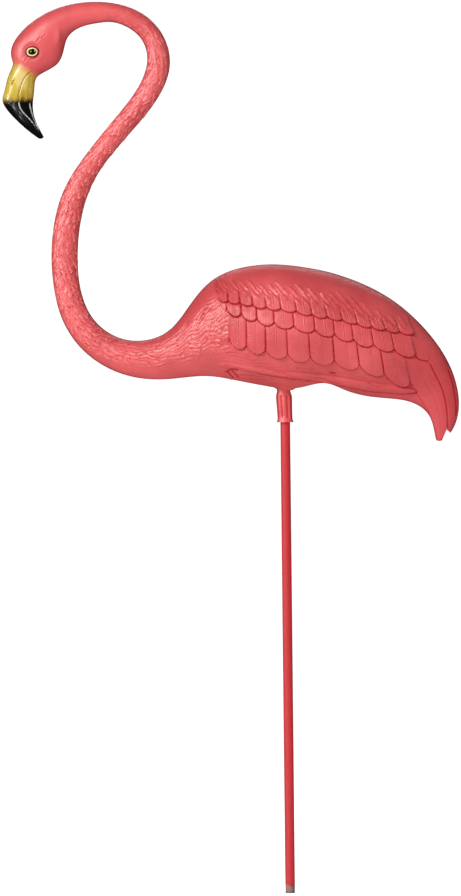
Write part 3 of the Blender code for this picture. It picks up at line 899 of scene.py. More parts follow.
def head_relief(x, z):
    """Height, painted shade and painted highlights of the carving on the head and bill."""
    from_rim = np.hypot(x - EYE[0], z - EYE[1]) - EYE_RADIUS
    ring = bell(from_rim - EYE_HOLLOW_WIDTH / 2, EYE_HOLLOW_WIDTH)
    height = EYE_DOME * np.sqrt(dome(from_rim + EYE_RADIUS, EYE_RADIUS)) - EYE_HOLLOW * ring
    height -= EYE_LINE * bell(from_rim, 0.5)
    painted_shade = 0.35 * bell(from_rim - 0.9, 1.0)
    for points, depth, width, lip in HEAD_LINES:
        gap, share = line_distance(x, z, points)
        ends = np.sqrt(band(0.0, 0.12, 0.88, 1.0, share))
        height += ends * (lip * bell(np.abs(gap) - 2.4 * width, width) - depth * bell(gap, width))
        painted_shade = np.maximum(painted_shade, ends * bell(gap, width) * min(1.0, 1.2 * depth))
    for points in BILL_RIDGES:
        ridge, share = line_distance(x, z, points)
        ends = band(0.0, 0.1, 0.9, 1.0, share)
        low = fade(0.2, 0.5, share)
        gleam = 0.45 + 0.55 * np.sin(31 * share) ** 2 * low + 0.55 * (1 - low)
        height += BILL_RIDGE * bell(ridge, 0.7) * ends
        painted_shade = np.where(np.abs(ridge) < 1.2, -bell(ridge, 0.42) * ends * gleam, painted_shade)
    # Painted highlights: pale grey streaks over the front of the black tip
    from_gleam_streak, share = line_distance(x, z, GLEAM_STREAK_LINE)
    grain = np.sin(2.6 * from_gleam_streak + 1.3 * np.sin(x + 0.7 * z)) * np.sin(0.9 * (x - z) + 2.0 * np.sin(1.1 * x))
    gleam_streaked = bell(from_gleam_streak, 2.1) * (1 - fade(0.25, 1.0, share)) * fade(-0.2, 0.7, grain) * (np.abs(from_gleam_streak) < 6)
    painted_shade = np.where((z < HEAD_BLACK) & (painted_shade > -0.05), -GLEAM_STREAK_CREST * gleam_streaked, painted_shade)
    cheek, share = line_distance(x, z, CHEEK_RIDGE)
    swelling = bell(cheek, 2.6) * np.sin(math.pi * np.clip(share, 0, 1))
    height += CHEEK_HEIGHT * swelling
    return height, np.where(swelling > 0.02, painted_shade - CHEEK_CREST * swelling, painted_shade)


def tuft_spread(along, angle, x, z, covered):
    """Where the small feathers grow, as the share of their full height, and the smooth breast band that
    takes painted shade.
    """
    turned = np.degrees(np.abs(angle))
    spread = np.ones(along.shape)
    for (first, low, high), (last, low_end, high_end), rising in ((*TUFT_START, True), (*TUFT_END, False)):
        share = fade(first, last, along)
        start, end = low + (low_end - low) * share, high + (high_end - high) * share
        risen = fade(0, 1, (turned - start) / (end - start))
        spread *= risen if rising else 1 - risen
    over_wing = fade(0, 7, z - tip_height(FEATHER_ROWS[-1], x)) * fade(-66, -52, x)
    under_leg = (1 - fade(-5, -1, z - np.interp(x, *zip(*LEG_LINE)))) * fade(-60, -45, x)
    keep = (1 - over_wing) * (1 - under_leg) * (1 - covered) * (1 - fade(92, 104, x))
    spread *= np.where((x > BODY_FRONT) & (along > BREAST_START), keep, 1.0)
    smooth_band = (1 - spread) * band(430, 500, 590, 640, along) * (turned < 90)
    return spread, smooth_band


def relief(along, angle, place, sideways, settings):
    """Height in millimetres of all relief, and each place's painted shade or, below 0, its painted
    highlight.
    """
    x, z = place[:, 0], place[:, 2]
    facing = fade(0.12, 0.45, sideways)
    wing, wing_shade, covered = wing_relief(x, z, settings)
    leg, leg_shade = leg_relief(x, z, settings)
    leg_facing = fade(0.0, 0.08, sideways)
    tufts, tuft_shade = tuft_relief(along, angle, np.interp(along, *GIRTHS))
    spread, smooth_band = tuft_spread(along, angle, x, z, covered)
    tufts *= spread * settings.tuft_height
    tuft_shade *= spread

    on_body = x > BODY_FRONT
    body = np.maximum(wing * facing + tufts, leg * leg_facing)
    body_shade = np.where(np.abs(leg_shade) > 0.05, leg_shade * leg_facing, wing_shade * facing + tuft_shade)
    head, head_shade = head_relief(x, z)
    in_head = (z > HEAD_BOTTOM) & ~on_body & (along < HEAD_END)
    height = np.where(on_body, body, np.where(in_head, head * facing, 0.0) + tufts)
    shade = np.where(on_body, body_shade, np.where(in_head, head_shade * facing, 0.0) + tuft_shade)
    for points in NECK_STREAKS:
        streak, share = line_distance(x, z, points)
        streak += 0.7 * np.sin(16 * share) + 0.3 * np.sin(37 * share)
        line = bell(streak, 0.9) * band(0.0, 0.1, 0.8, 1.0, share) * facing * (along < STREAK_END)
        height += STREAK_HEIGHT * line
        # A painted highlight along each streak
        shade = np.where(line > 0.05, shade * (1 - line) - STREAK_CREST * line, shade)
    seam = SEAM_HEIGHT * bell(place[:, 1], SEAM_WIDTH) * fade(20, 60, along)
    # Painted shade on the smooth band of the breast
    return height + seam, shade + SMOOTH_SHADE * smooth_band


def on_feathers(x, z, sideways):
    """Each place's millimetres off its feather's shaft and above its edge, and how clear of edges it is."""
    place = np.zeros((len(x), 3))
    for row in FEATHER_ROWS:
        across, width, above, inside, _ = feather_places(x, z, row)
        clear = fade(0.5, 1.1, (1 - np.abs(across)) * width / 2) * fade(0.4, 1.2, above)
        share = fade(-FEATHER_EDGE, FEATHER_EDGE, above) * inside
        clear *= 1 - fade(0.7, 1.0, above / row["length"])
        here = np.column_stack((across * width / 2, above, clear))
        place = np.where((share > 0.5)[:, None], here, place * (1 - share)[:, None])
    place[:, 2] *= fade(0.12, 0.4, sideways) * (x > BODY_FRONT)
    return place


def around_and_along(points):
    """The turn around the spine, and the share of the rings from the bill, of points on the unit sphere."""
    level = np.hypot(points[:, 0], points[:, 1])
    return np.arctan2(points[:, 1], points[:, 0]), np.arctan2(level, points[:, 2]) / math.pi


def vertex_places(bm):
    """Places of a mesh's points as an array."""
    return np.array([vert.co for vert in bm.verts])


def move_points(bm, places):
    """Moves every point of a mesh to its new place."""
    for vert, place in zip(bm.verts, places.tolist()):
        vert.co = place


def bird_skin(settings, belly):
    """The bird's closed skin: the rings of a sphere laid along the spine, with all its relief."""
    along, rings = running_count(RING_STATIONS)
    bm = bmesh.new()
    bmesh.ops.create_uvsphere(bm, u_segments=AROUND, v_segments=int(rings[-1]), radius=1.0)
    for start, end, cuts in FINER_STRETCHES:
        first, last = np.interp((start, end), along, rings / rings[-1])
        _, share = around_and_along(np.array([face.calc_center_median() for face in bm.faces]))
        for face, part in zip(bm.faces, share):
            face.tag = first < part < last
        edges = [edge for edge in bm.edges if any(face.tag for face in edge.link_faces)]
        bmesh.ops.subdivide_edges(bm, edges=edges, cuts=cuts, use_grid_fill=True)
    bmesh.ops.triangulate(bm, faces=bm.faces)

    angle, share = around_and_along(vertex_places(bm))
    distance = np.interp(share, rings / rings[-1], along)
    place = form(distance, angle)
    move_points(bm, place * MM)
    bmesh.ops.recalc_face_normals(bm, faces=bm.faces)
    bm.normal_update()
    normal = np.array([vert.normal for vert in bm.verts])
    sideways = np.abs(normal[:, 1])
    height, shade = relief(distance, angle, place, sideways, settings)
    feather = on_feathers(place[:, 0], place[:, 2], sideways)
    shade_layer = bm.verts.layers.float.new("shade")
    feather_layer = bm.verts.layers.float_vector.new("feather")
    for vert, here, there in zip(bm.verts, shade.tolist(), feather.tolist()):
        vert[shade_layer] = here
        vert[feather_layer] = there
    around_sleeve = np.hypot(place[:, 0], place[:, 1])
    fillet = FILLET * (1 - fade(*FILLET_REACH, around_sleeve)) * (normal[:, 2] < -0.5)
    moved = place + normal * height[:, None] - np.array((0.0, 0.0, 1.0)) * fillet[:, None]
    move_points(bm, moved * MM + np.array((0.0, 0.0, belly)))
    return bm


def grow(bm, edges):
    """Extrudes edges where they are, and returns the new edges and points."""
    grown = bmesh.ops.extrude_edge_only(bm, edges=edges)["geom"]
    fresh = [item for item in grown if isinstance(item, bmesh.types.BMEdge)]
    return fresh, [item for item in grown if isinstance(item, bmesh.types.BMVert)]


def sleeve_solid(settings):
    """The fluted socket sleeve: rings from its flared mouth up to a waist, and a root inside the belly."""
    bm = bmesh.new()
    radius = STAKE_RADIUS + SLEEVE_CLEARANCE + settings.sleeve_wall
    bmesh.ops.create_circle(bm, segments=FLUTES * POINTS_A_FLUTE, radius=radius, cap_ends=True)
    edges = list(bm.edges)
    levels = [(share, float(np.interp(share, *zip(*SLEEVE_PROFILE)))) for share in SLEEVE_LEVELS]
    levels.append((1.0 + SLEEVE_ROOT / settings.sleeve_length, levels[-1][1]))
    ring = list(bm.verts)
    shape_sleeve_ring(ring, radius, *levels[0], settings)
    for level in levels[1:]:
        edges, ring = grow(bm, edges)
        shape_sleeve_ring(ring, radius, *level, settings)
    bmesh.ops.edgeloop_fill(bm, edges=edges)
    bmesh.ops.recalc_face_normals(bm, faces=bm.faces)
    return bm


def shape_sleeve_ring(ring, radius, share, swell, settings):
    """Moves one ring of the sleeve to its height above the mouth and gives it its radius and flutes."""
    fluted = settings.flute_depth * float(fade(*FLUTE_START, share) * (1 - fade(*FLUTE_END, share)))
    for vert in ring:
        turn = math.atan2(vert.co.y, vert.co.x)
        valley = (1 - math.cos(FLUTES * turn)) / 2
        reach = radius + settings.sleeve_swell * swell - fluted * valley**1.5
        height = SLEEVE_MOUTH + settings.sleeve_length * share
        vert.co = (reach * math.cos(turn) - SLEEVE_LEAN * min(1.0, share), reach * math.sin(turn), height)


def bore_solid(settings):
    """The round hole up the sleeve that the stake fills."""
    bm = bmesh.new()
    radius = STAKE_RADIUS + SLEEVE_CLEARANCE
    bottom = SLEEVE_MOUTH - settings.sleeve_length
    top = STAKE_TOP.z + SLEEVE_CLEARANCE
    size = dict(radius1=radius, radius2=radius, depth=top - bottom)
    bmesh.ops.create_cone(bm, cap_ends=True, segments=ROD_SIDES, **size)
    bmesh.ops.translate(bm, verts=bm.verts, vec=(0.0, 0.0, (top + bottom) / 2))
    return bm


def notch_solid(belly):
    """The wedge of air between the two feather tips at the end of the tail."""
    bm = bmesh.new()
    half = NOTCH_WIDTH / 2
    corners = [bm.verts.new((x * MM, -half, belly + z * MM)) for x, z in TAIL_NOTCH]
    side = bm.faces.new(corners)
    grown = bmesh.ops.extrude_face_region(bm, geom=[side])["geom"]
    moved = [item for item in grown if isinstance(item, bmesh.types.BMVert)]
    bmesh.ops.translate(bm, verts=moved, vec=(0.0, NOTCH_WIDTH, 0.0))
    bmesh.ops.recalc_face_normals(bm, faces=bm.faces)
    return bm


def add_object(name, bm):
    """Turns a bmesh into an object at the origin."""
    mesh = bpy.data.meshes.new(name)
    bm.to_mesh(mesh)
    bm.free()
    made = bpy.data.objects.new(name, mesh)
    bpy.context.scene.collection.objects.link(made)
    return made


def finished_mesh(made, tools):
    """Gives the object the mesh that its modifiers make, and clears away its modifiers and tools."""
    evaluated = made.evaluated_get(bpy.context.evaluated_depsgraph_get())
    mesh = bpy.data.meshes.new_from_object(evaluated)
    made.modifiers.clear()
    made.data = mesh
    for tool in tools:
        bpy.data.objects.remove(tool)
    return mesh


def smooth(mesh, angle=50):
    """Shades a mesh smooth, with its sharp edges kept."""
    mesh.shade_smooth()
    mesh.set_sharp_from_angle(angle=math.radians(angle))


class Look:
    """Makes the nodes of one material round its Principled shader."""

    def __init__(self, name):
        self.material = bpy.data.materials.new(name)
        self.material.use_nodes = True
        self.links = self.material.node_tree.links
        self.shader = self.material.node_tree.nodes["Principled BSDF"]

    def fill(self, socket, value):
        """Links or sets one socket."""
        if isinstance(value, bpy.types.NodeSocket):
            self.links.new(value, socket)
        else:
            socket.default_value = value

    def node(self, kind, inputs=None, **properties):
        """Adds a node, sets its properties, and links or sets its inputs by name or number."""
        made = self.material.node_tree.nodes.new(kind)
        for name, value in properties.items():
            setattr(made, name, value)
        for socket, value in (inputs or {}).items():
            self.fill(made.inputs[socket], value)
        return made

    def place(self):
        """Places on the piece, with their three parts."""
        where = self.node("ShaderNodeTexCoord").outputs["Object"]
        return where, self.node("ShaderNodeSeparateXYZ", {"Vector": where}).outputs

    def maths(self, operation, first, second=0.0, third=0.0):
        """One Math node's result."""
        return self.node("ShaderNodeMath", {0: first, 1: second, 2: third}, operation=operation).outputs[0]

    def times(self, first, second):
        """Two numbers multiplied."""
        return self.maths("MULTIPLY", first, second)

    def times_plus(self, first, second, third):
        """Two numbers multiplied, and a third added."""
        return self.maths("MULTIPLY_ADD", first, second, third)

    def plus(self, first, second):
        """Two numbers added."""
        return self.maths("ADD", first, second)

    def stretch(self, value, low, high, to_low=0.0, to_high=1.0):
        """A smooth change from one value to another while the input goes from low to high."""
        inputs = {"Value": value, "From Min": low, "From Max": high, "To Min": to_low, "To Max": to_high}
        return self.node("ShaderNodeMapRange", inputs, interpolation_type="SMOOTHSTEP").outputs["Result"]

    def between(self, share, first, second):
        """A number between two numbers."""
        inputs = {"Factor": share, 2: first, 3: second}
        return self.node("ShaderNodeMix", inputs, data_type="FLOAT").outputs[0]

    def mixed(self, share, first, second):
        """A colour between two colours."""
        inputs = {"Factor": share, 6: first, 7: second}
        return self.node("ShaderNodeMix", inputs, data_type="RGBA").outputs[2]

    def mapped(self, where, **inputs):
        """Places moved, turned or scaled."""
        return self.node("ShaderNodeMapping", {"Vector": where, **inputs}).outputs["Vector"]

    def noise(self, where, scale, detail=3.0, roughness=0.5):
        """A soft random pattern."""
        inputs = {"Vector": where, "Scale": scale, "Detail": detail, "Roughness": roughness}
        return self.node("ShaderNodeTexNoise", inputs).outputs["Fac"]

    def finish(self, colour, rough, height):
        """Gives the shader its colour, roughness and relief in millimetres, and returns the material."""
        bump = self.node("ShaderNodeBump", {"Strength": 1.0, "Distance": MM, "Height": height})
        sockets = {"Base Color": colour, "Roughness": rough, "Normal": bump.outputs["Normal"]}
        for name, value in sockets.items():
            self.fill(self.shader.inputs[name], value)
        return self.material


def scaled(colour, share, offset=0.0):
    """A colour made darker or paler."""
    return tuple(min(1.0, share * part + offset) for part in colour[:3]) + (1.0,)


def past_line(look, x, z, start, end, wobble):
    """How far, in millimetres, a place lies to the right of the line from start to end."""
    run_x, run_z = end[0] - start[0], end[1] - start[1]
    length = math.hypot(run_x, run_z)
    side_x, side_z = run_z / length, -run_x / length
    level = look.times_plus(x, side_x, look.times(z, side_z))
    offset = -(start[0] * side_x + start[1] * side_z)
    return look.plus(look.plus(level, offset), wobble)


def sleeve_masks(look, x, y, z, settings):
    """The painted shade in the sleeve's flutes, and 1 away from the sleeve, at millimetres from the root of
    the sleeve.
    """
    length = settings.sleeve_length / MM
    from_axis = look.plus(x, look.stretch(z, -length, 0.0, 0.0, SLEEVE_LEAN / MM))
    turn = look.maths("ARCTAN2", y, from_axis)
    wave = look.maths("COSINE", look.times(turn, float(FLUTES)))
    start, end = ((sum(shares) / 2 - 1) * length for shares in (FLUTE_START, FLUTE_END))
    along = look.times(look.stretch(z, start - 1, start + 1), look.stretch(z, end + 1, end - 1))
    square = look.times_plus(from_axis, from_axis, look.times(y, y))
    outside = look.stretch(square, *(radius**2 for radius in SLEEVE_REACH))
    beside = look.times(along, look.stretch(outside, 1.0, 0.0))
    flute_shade = look.times(look.times(look.stretch(wave, *FLUTE_SHADE_SPAN), beside), FLUTE_SHADE)
    return flute_shade, look.maths("MAXIMUM", outside, look.stretch(z, -3.0, -1.0))


def plastic_colour(look, settings, where, x, z, painted_shade, painted_highlight):
    """The pink, mottled, with painted shade in hollows, on the tail and the middle plane, and painted
    highlights on crests.
    """
    deep = tuple(settings.mottle_and_shade_pink)
    broad = look.noise(where, 22.0, 2.0)
    mottled = look.noise(where, 160.0, 4.0, 0.6)
    dull, pale = scaled(settings.pink, 0.90), scaled(settings.pink, 1.06, 0.02)
    colour = look.mixed(look.stretch(broad, 0.35, 0.68), dull, pale)
    colour = look.mixed(look.stretch(mottled, 0.45, 0.75, 0.0, 0.13), colour, deep)
    # Painted shade in hollows
    colour = look.mixed(look.times(painted_shade, HOLLOW_SHADE), colour, deep)
    # Painted shade, darker towards the lower tail
    tail_shade = look.times(look.stretch(x, 60.0, 125.0, 0.0, TAIL_SHADE), look.stretch(z, 45.0, 5.0))
    colour = look.mixed(tail_shade, colour, deep)
    # Painted highlights on crests
    colour = look.mixed(look.times(painted_highlight, CREST_HIGHLIGHT), colour, HIGHLIGHT_PINK)
    return colour, mottled


def bill_colour(look, settings, where, x, z, painted_shade, into_tip):
    """The bill's yellow: pale streaks, a painted highlight, olive tone above the tip, painted shade, a warm
    inner edge.
    """
    along_bill = look.mapped(where, Rotation=(0, math.radians(20), 0), Scale=(1, 1, 0.12))
    streak = look.noise(along_bill, 420.0, 3.0, 0.6)
    yellow = look.mixed(look.stretch(streak, 0.48, 0.70, 0.0, 0.35), tuple(settings.yellow), PALE_YELLOW)
    # A painted highlight on the yellow, round this middle
    (highlight_x, highlight_z), (half_x, half_z) = HIGHLIGHT_PATCH
    off_x = look.times_plus(x, half_x, -half_x * highlight_x)
    off_z = look.times_plus(z, half_z, -half_z * highlight_z)
    off_highlight = look.times_plus(off_x, off_x, look.times(off_z, off_z))
    yellow = look.mixed(look.stretch(off_highlight, 1.1, 0.1, 0.0, 0.6), yellow, PALE_YELLOW)
    olive_side = look.stretch(x, -219.0, -210.0, 0.35, 1.0)
    near_tip = look.times(look.stretch(into_tip, 10.0, 0.0), look.stretch(streak, 0.62, 0.40, 0.4, 1.0))
    yellow = look.mixed(look.times(near_tip, olive_side), yellow, DEEP_YELLOW)
    # Painted shade in the bill's hollows
    yellow = look.mixed(look.times(painted_shade, 0.7), yellow, DEEP_YELLOW)
    inner_edge = look.times(look.stretch(x, -203.5, -198.5), look.stretch(z, 236.0, 246.0))
    return look.mixed(look.times(inner_edge, 0.7), yellow, ORANGE)


def eye_colour(look, colour, x, z, on_head):
    """The painted rings of the eye and the two lights in its black, over the colour round it."""
    across = look.times_plus(x, 1 / EYE_OVAL, -EYE[0] / EYE_OVAL)
    up = look.maths("SUBTRACT", z, EYE[1])
    out = look.maths("SQRT", look.plus(look.times(across, across), look.times(up, up)))
    for radius, soft, paint in EYE_RINGS:
        painted = look.times(look.stretch(out, radius + soft, radius - soft), on_head)
        colour = look.mixed(painted, colour, paint)
    for (off_x, off_z), radius, paint in EYE_LIGHTS:
        glint_x = look.plus(x, -EYE[0] - off_x)
        glint_z = look.plus(z, -EYE[1] - off_z)
        square = look.times_plus(glint_x, glint_x, look.times(glint_z, glint_z))
        glint = look.stretch(look.maths("SQRT", square), radius + EYE_LIGHT_EDGE, radius - EYE_LIGHT_EDGE)
        colour = look.mixed(look.times(glint, on_head), colour, paint)
    return colour, look.times(look.stretch(out, 4.3, 3.7), on_head)


def plastic_material(settings, belly):
    """Pink moulded plastic with the sprayed bill and the painted eye."""
    look = Look("pink plastic")
    where, parts = look.place()
    x = look.times(parts["X"], 1 / MM)
    z = look.times_plus(parts["Z"], 1 / MM, -belly / MM)
    shade = look.node("ShaderNodeAttribute", attribute_name="shade").outputs["Fac"]
    flute_shade, off_sleeve = sleeve_masks(look, x, look.times(parts["Y"], 1 / MM), z, settings)
    # Painted shade in hollows and flutes, and painted highlights on crests, from the shade attribute
    painted_shade = look.maths("MAXIMUM", look.times(look.stretch(shade, 0.0, 1.0), off_sleeve), flute_shade)
    painted_highlight = look.times(look.stretch(shade, 0.0, -1.0), off_sleeve)
    colour, mottled = plastic_colour(look, settings, where, x, z, painted_shade, painted_highlight)
    # Painted shade along the middle plane, which darkens the outline seen from the side
    midplane_shade = look.stretch(look.maths("ABSOLUTE", parts["Y"]), *MIDPLANE_SHADE_REACH, 0.0, MIDPLANE_SHADE)
    colour = look.mixed(midplane_shade, colour, tuple(settings.mottle_and_shade_pink))

    wobble = look.times_plus(look.noise(where, 320.0, 4.0), 4.0, -2.0)
    into_bill = past_line(look, x, z, *BILL_EDGE, wobble)
    into_tip = past_line(look, x, z, *TIP_EDGE, wobble)
    on_head = look.times(look.stretch(x, -190.0, -192.0), look.stretch(z, 200.0, 202.0))
    sprayed = look.times(look.stretch(into_bill, SPRAY_BLUR, -SPRAY_BLUR), on_head)
    brushed = look.times_plus(look.noise(where, 900.0, 3.0), 5.0, -2.5)
    tip = look.times(look.stretch(look.plus(into_tip, brushed), TIP_BLUR, -TIP_BLUR), on_head)
    yellow = bill_colour(look, settings, where, x, z, painted_shade, into_tip)
    colour = look.mixed(sprayed, colour, yellow)
    # The black tip, with painted highlights in grey on its ridges and streaks
    colour = look.mixed(tip, colour, look.mixed(painted_highlight, tuple(settings.black), GLEAM))
    colour, in_eye = eye_colour(look, colour, x, z, on_head)

    rough = look.times_plus(mottled, 0.16, 0.32)
    rough = look.times_plus(painted_shade, 0.15, rough)
    for share, there in ((sprayed, 0.30), (tip, 0.20), (in_eye, 0.08)):
        rough = look.between(share, rough, there)
    level = look.times_plus(painted_shade, -0.35, 0.5)
    level = look.between(in_eye, look.between(tip, level, 0.35), 0.12)
    look.fill(look.shader.inputs["Specular IOR Level"], level)
    look.shader.inputs["IOR"].default_value = 1.5
    return look.finish(colour, rough, feather_texture(look, settings, where))


def feather_texture(look, settings, where):
    """Height in millimetres of the feathers' barbs and shafts and of the plastic's fine unevenness."""
    place = look.node("ShaderNodeAttribute", attribute_name="feather").outputs["Vector"]
    off_shaft, above, clear = look.node("ShaderNodeSeparateXYZ", {"Vector": place}).outputs
    off_shaft = look.maths("ABSOLUTE", off_shaft)
    barbs = look.times(off_shaft, math.sin(BARB_SLANT))
    barbs = look.times_plus(above, math.cos(BARB_SLANT), barbs)
    barbs = look.maths("SINE", look.times(barbs, 2 * math.pi * MM / settings.barb_spacing))
    barbs = look.times(barbs, look.stretch(look.noise(where, 75.0, 1.0), 0.46, 0.60))
    shaft = look.stretch(off_shaft, 0.75, 0.25)
    beside = look.times(look.stretch(off_shaft, 0.5, 0.9), look.stretch(off_shaft, 1.4, 1.0))
    texture = look.times(barbs, BARB_HEIGHT)
    texture = look.times_plus(shaft, SHAFT_HEIGHT, texture)
    texture = look.times_plus(beside, -SHAFT_GROOVE, texture)
    texture = look.times(texture, clear)
    grains = look.times(look.noise(where, 650.0, 2.0), clear)
    texture = look.times_plus(grains, GRAIN_HEIGHT, texture)
    pebble = look.times(look.noise(where, 420.0, 3.0), PEBBLE_HEIGHT)
    uneven = look.times(look.noise(where, 70.0, 2.0), UNEVEN_HEIGHT)
    return look.plus(texture, look.plus(pebble, uneven))


def stake_solid(settings):
    """The dowel: its sawn end, the edge of the paint and the painted length up into the sleeve."""
    bm = bmesh.new()
    wood = STAKE_RADIUS - settings.paint_thickness
    bmesh.ops.create_circle(bm, segments=ROD_SIDES, radius=wood - SAWN_EDGE, cap_ends=True)
    edges = list(bm.edges)
    bare = settings.bare_end
    levels = [(STAKE_EDGE, wood, 0.0), (bare * 0.5, wood, 0.0), (bare, wood, 1.0)]
    levels += [(bare + above, STAKE_RADIUS, ragged) for above, ragged in PAINT_EDGE]
    heights = np.linspace(levels[-1][0], STAKE_TOP.z - STAKE_EDGE, STAKE_STEPS + 1)[1:]
    levels += [(height, STAKE_RADIUS, 0.0) for height in heights]
    levels += [(STAKE_TOP.z, STAKE_RADIUS - STAKE_EDGE, 0.0)]
    for height, radius, ragged in levels:
        edges, ring = grow(bm, edges)
        for vert in ring:
            turn = math.atan2(vert.co.y, vert.co.x)
            wave = sum(size * math.sin(count * turn + shift) for count, shift, size in PAINT_WAVES)
            lift = PAINT_WAVE_HEIGHT * wave * ragged
            vert.co = (radius * math.cos(turn), radius * math.sin(turn), height + lift)
    bmesh.ops.edgeloop_fill(bm, edges=edges)
    bmesh.ops.recalc_face_normals(bm, faces=bm.faces)
    return bm


def stake_material(settings):
    """Crimson paint on wood, with the bare sawn end below it."""
    look = Look("crimson paint on wood")
    where, parts = look.place()
    grain = look.noise(look.mapped(where, Scale=(1.0, 1.0, 0.03)), 1500.0, 4.0, 0.6)
    blotch = look.noise(where, 60.0, 3.0)
    centre = look.mapped(where, Location=(0.009, 0.004, 0.0))
    wave = {"Vector": centre, "Scale": 320.0, "Distortion": 1.5, "Detail": 2.0}
    rings = look.node("ShaderNodeTexWave", wave, wave_type="RINGS", rings_direction="Z").outputs["Fac"]

    dark = scaled(settings.crimson, 0.72)
    paint = look.mixed(look.stretch(grain, 0.35, 0.7, 0.0, 0.6), tuple(settings.crimson), dark)
    paint = look.mixed(look.stretch(blotch, 0.55, 0.75, 0.0, 0.3), paint, dark)
    dark_wood = scaled(settings.wood, 0.45)
    wood = look.mixed(look.times(rings, 0.5), tuple(settings.wood), dark_wood)
    wood = look.mixed(look.stretch(grain, 0.5, 0.72, 0.0, 0.7), wood, dark_wood)
    # The wood greyer towards the sawn end
    wood = look.mixed(look.stretch(parts["Z"], 0.0022, 0.0, 0.0, 0.6), wood, GREY_WOOD_END)

    turn = look.maths("ARCTAN2", parts["Y"], parts["X"])
    edge = settings.bare_end
    for count, shift, size in PAINT_WAVES:
        wave = look.maths("SINE", look.times_plus(turn, float(count), shift))
        edge = look.times_plus(wave, size * PAINT_WAVE_HEIGHT, edge)
    over = look.maths("SUBTRACT", parts["Z"], edge)
    painted = look.stretch(over, -0.0001, 0.0002)
    rough = look.between(painted, 0.82, look.times_plus(grain, 0.15, 0.55))
    height = look.times_plus(grain, 0.10, look.times(look.noise(where, 900.0), 0.05))
    return look.finish(look.mixed(painted, wood, paint), rough, height)


class FLAMINGO_OT_bird(bpy.types.Operator):
    """Models the moulded bird with its sleeve and gives it its plastic and paint"""

    bl_idname = "flamingo.bird"
    bl_label = "Model the bird"

    def execute(self, context):
        settings = context.scene.flamingo_bird
        belly = SLEEVE_MOUTH + settings.sleeve_length
        bird = add_object("moulded_flamingo", bird_skin(settings, belly))
        thin = bird.modifiers.new("lighter", "DECIMATE")
        thin.ratio = TRIANGLES / len(bird.data.polygons)
        tools = []
        for name, solid, operation in (
            ("sleeve", sleeve_solid(settings), "UNION"),
            ("bore", bore_solid(settings), "DIFFERENCE"),
            ("tail_notch", notch_solid(belly), "DIFFERENCE"),
        ):
            tool = add_object(name, solid)
            step = bird.modifiers.new(name, "BOOLEAN")
            step.operation = operation
            step.solver = "EXACT"
            step.object = tool
            tools.append(tool)
        mesh = finished_mesh(bird, tools)
        smooth(mesh)
        mesh.materials.clear()
        mesh.materials.append(plastic_material(settings, belly))
        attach(bird, "root")
        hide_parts("flamingo")
        return {"FINISHED"}


class FLAMINGO_OT_stake(bpy.types.Operator):
    """Models the wooden stake with its painted length and its bare sawn end"""

    bl_idname = "flamingo.stake"
    bl_label = "Model the stake"

    def execute(self, context):
        settings = context.scene.flamingo_stake
        stake = add_object("painted_stake", stake_solid(settings))
        smooth(stake.data)
        stake.data.materials.append(stake_material(settings))
        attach(stake, "root")
        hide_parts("stake")
        return {"FINISHED"}


def white_bowl(levels):
    """A round floor whose rim curves up into a wall, from each ring's radius and height."""
    bm = bmesh.new()
    bmesh.ops.create_circle(bm, segments=BOWL_SIDES, radius=levels[0][0], cap_ends=True)
    edges = list(bm.edges)
    for (radius, height), (next_radius, next_height) in zip(levels[:-1], levels[1:]):
        edges, verts = grow(bm, edges)
        wider = next_radius / radius
        bmesh.ops.scale(bm, verts=verts, vec=(wider, wider, 1.0))
        bmesh.ops.translate(bm, verts=verts, vec=(0.0, 0.0, next_height - height))
    bmesh.ops.recalc_face_normals(bm, faces=bm.faces)
    bmesh.ops.reverse_faces(bm, faces=bm.faces)
    return add_object("floor", bm)


def stage_material():
    """Plain white paper, lit evenly."""
    look = Look("white paper")
    where, _ = look.place()
    colour = look.mixed(look.noise(where, 3.0), (0.93, 0.93, 0.93, 1.0), (0.96, 0.96, 0.96, 1.0))
    look.fill(look.shader.inputs["Base Color"], colour)
    look.shader.inputs["Roughness"].default_value = 0.9
    look.shader.inputs["Emission Color"].default_value = (1.0, 1.0, 1.0, 1.0)
    look.shader.inputs["Emission Strength"].default_value = 1.0
    return look.material


def add_light(name, place, aim, size, power, colour=(1.0, 1.0, 1.0)):
    """A rectangular soft light that faces a point."""
    data = bpy.data.lights.new(name, "AREA")
    data.shape = "RECTANGLE"
    data.size, data.size_y = size
    data.energy = power
    data.color = colour
    made = bpy.data.objects.new(name, data)
    bpy.context.scene.collection.objects.link(made)
    made.location = place
    made.visible_camera = False
    made.rotation_euler = (made.location - Vector(aim)).to_track_quat("Z", "Y").to_euler()
    return made


def add_camera(settings):
    """A long lens at the photograph's viewing angle, level with the bird's middle."""
    data = bpy.data.cameras.new("camera")
    data.sensor_fit = "VERTICAL"
    data.sensor_height = 36.0
    data.lens = data.sensor_height * settings.camera_distance / (PICTURE_HEIGHT * PIXEL)
    data.clip_end = 50.0
    made = bpy.data.objects.new("camera", data)
    bpy.context.scene.collection.objects.link(made)
    x, _, z = PICTURE_MIDDLE
    made.location = (x, -settings.camera_distance, z)
    level = Matrix.Rotation(math.pi / 2, 4, "X")
    made.rotation_euler = (level @ Matrix.Rotation(-PICTURE_TILT, 4, "Z")).to_euler()
    bpy.context.scene.camera = made


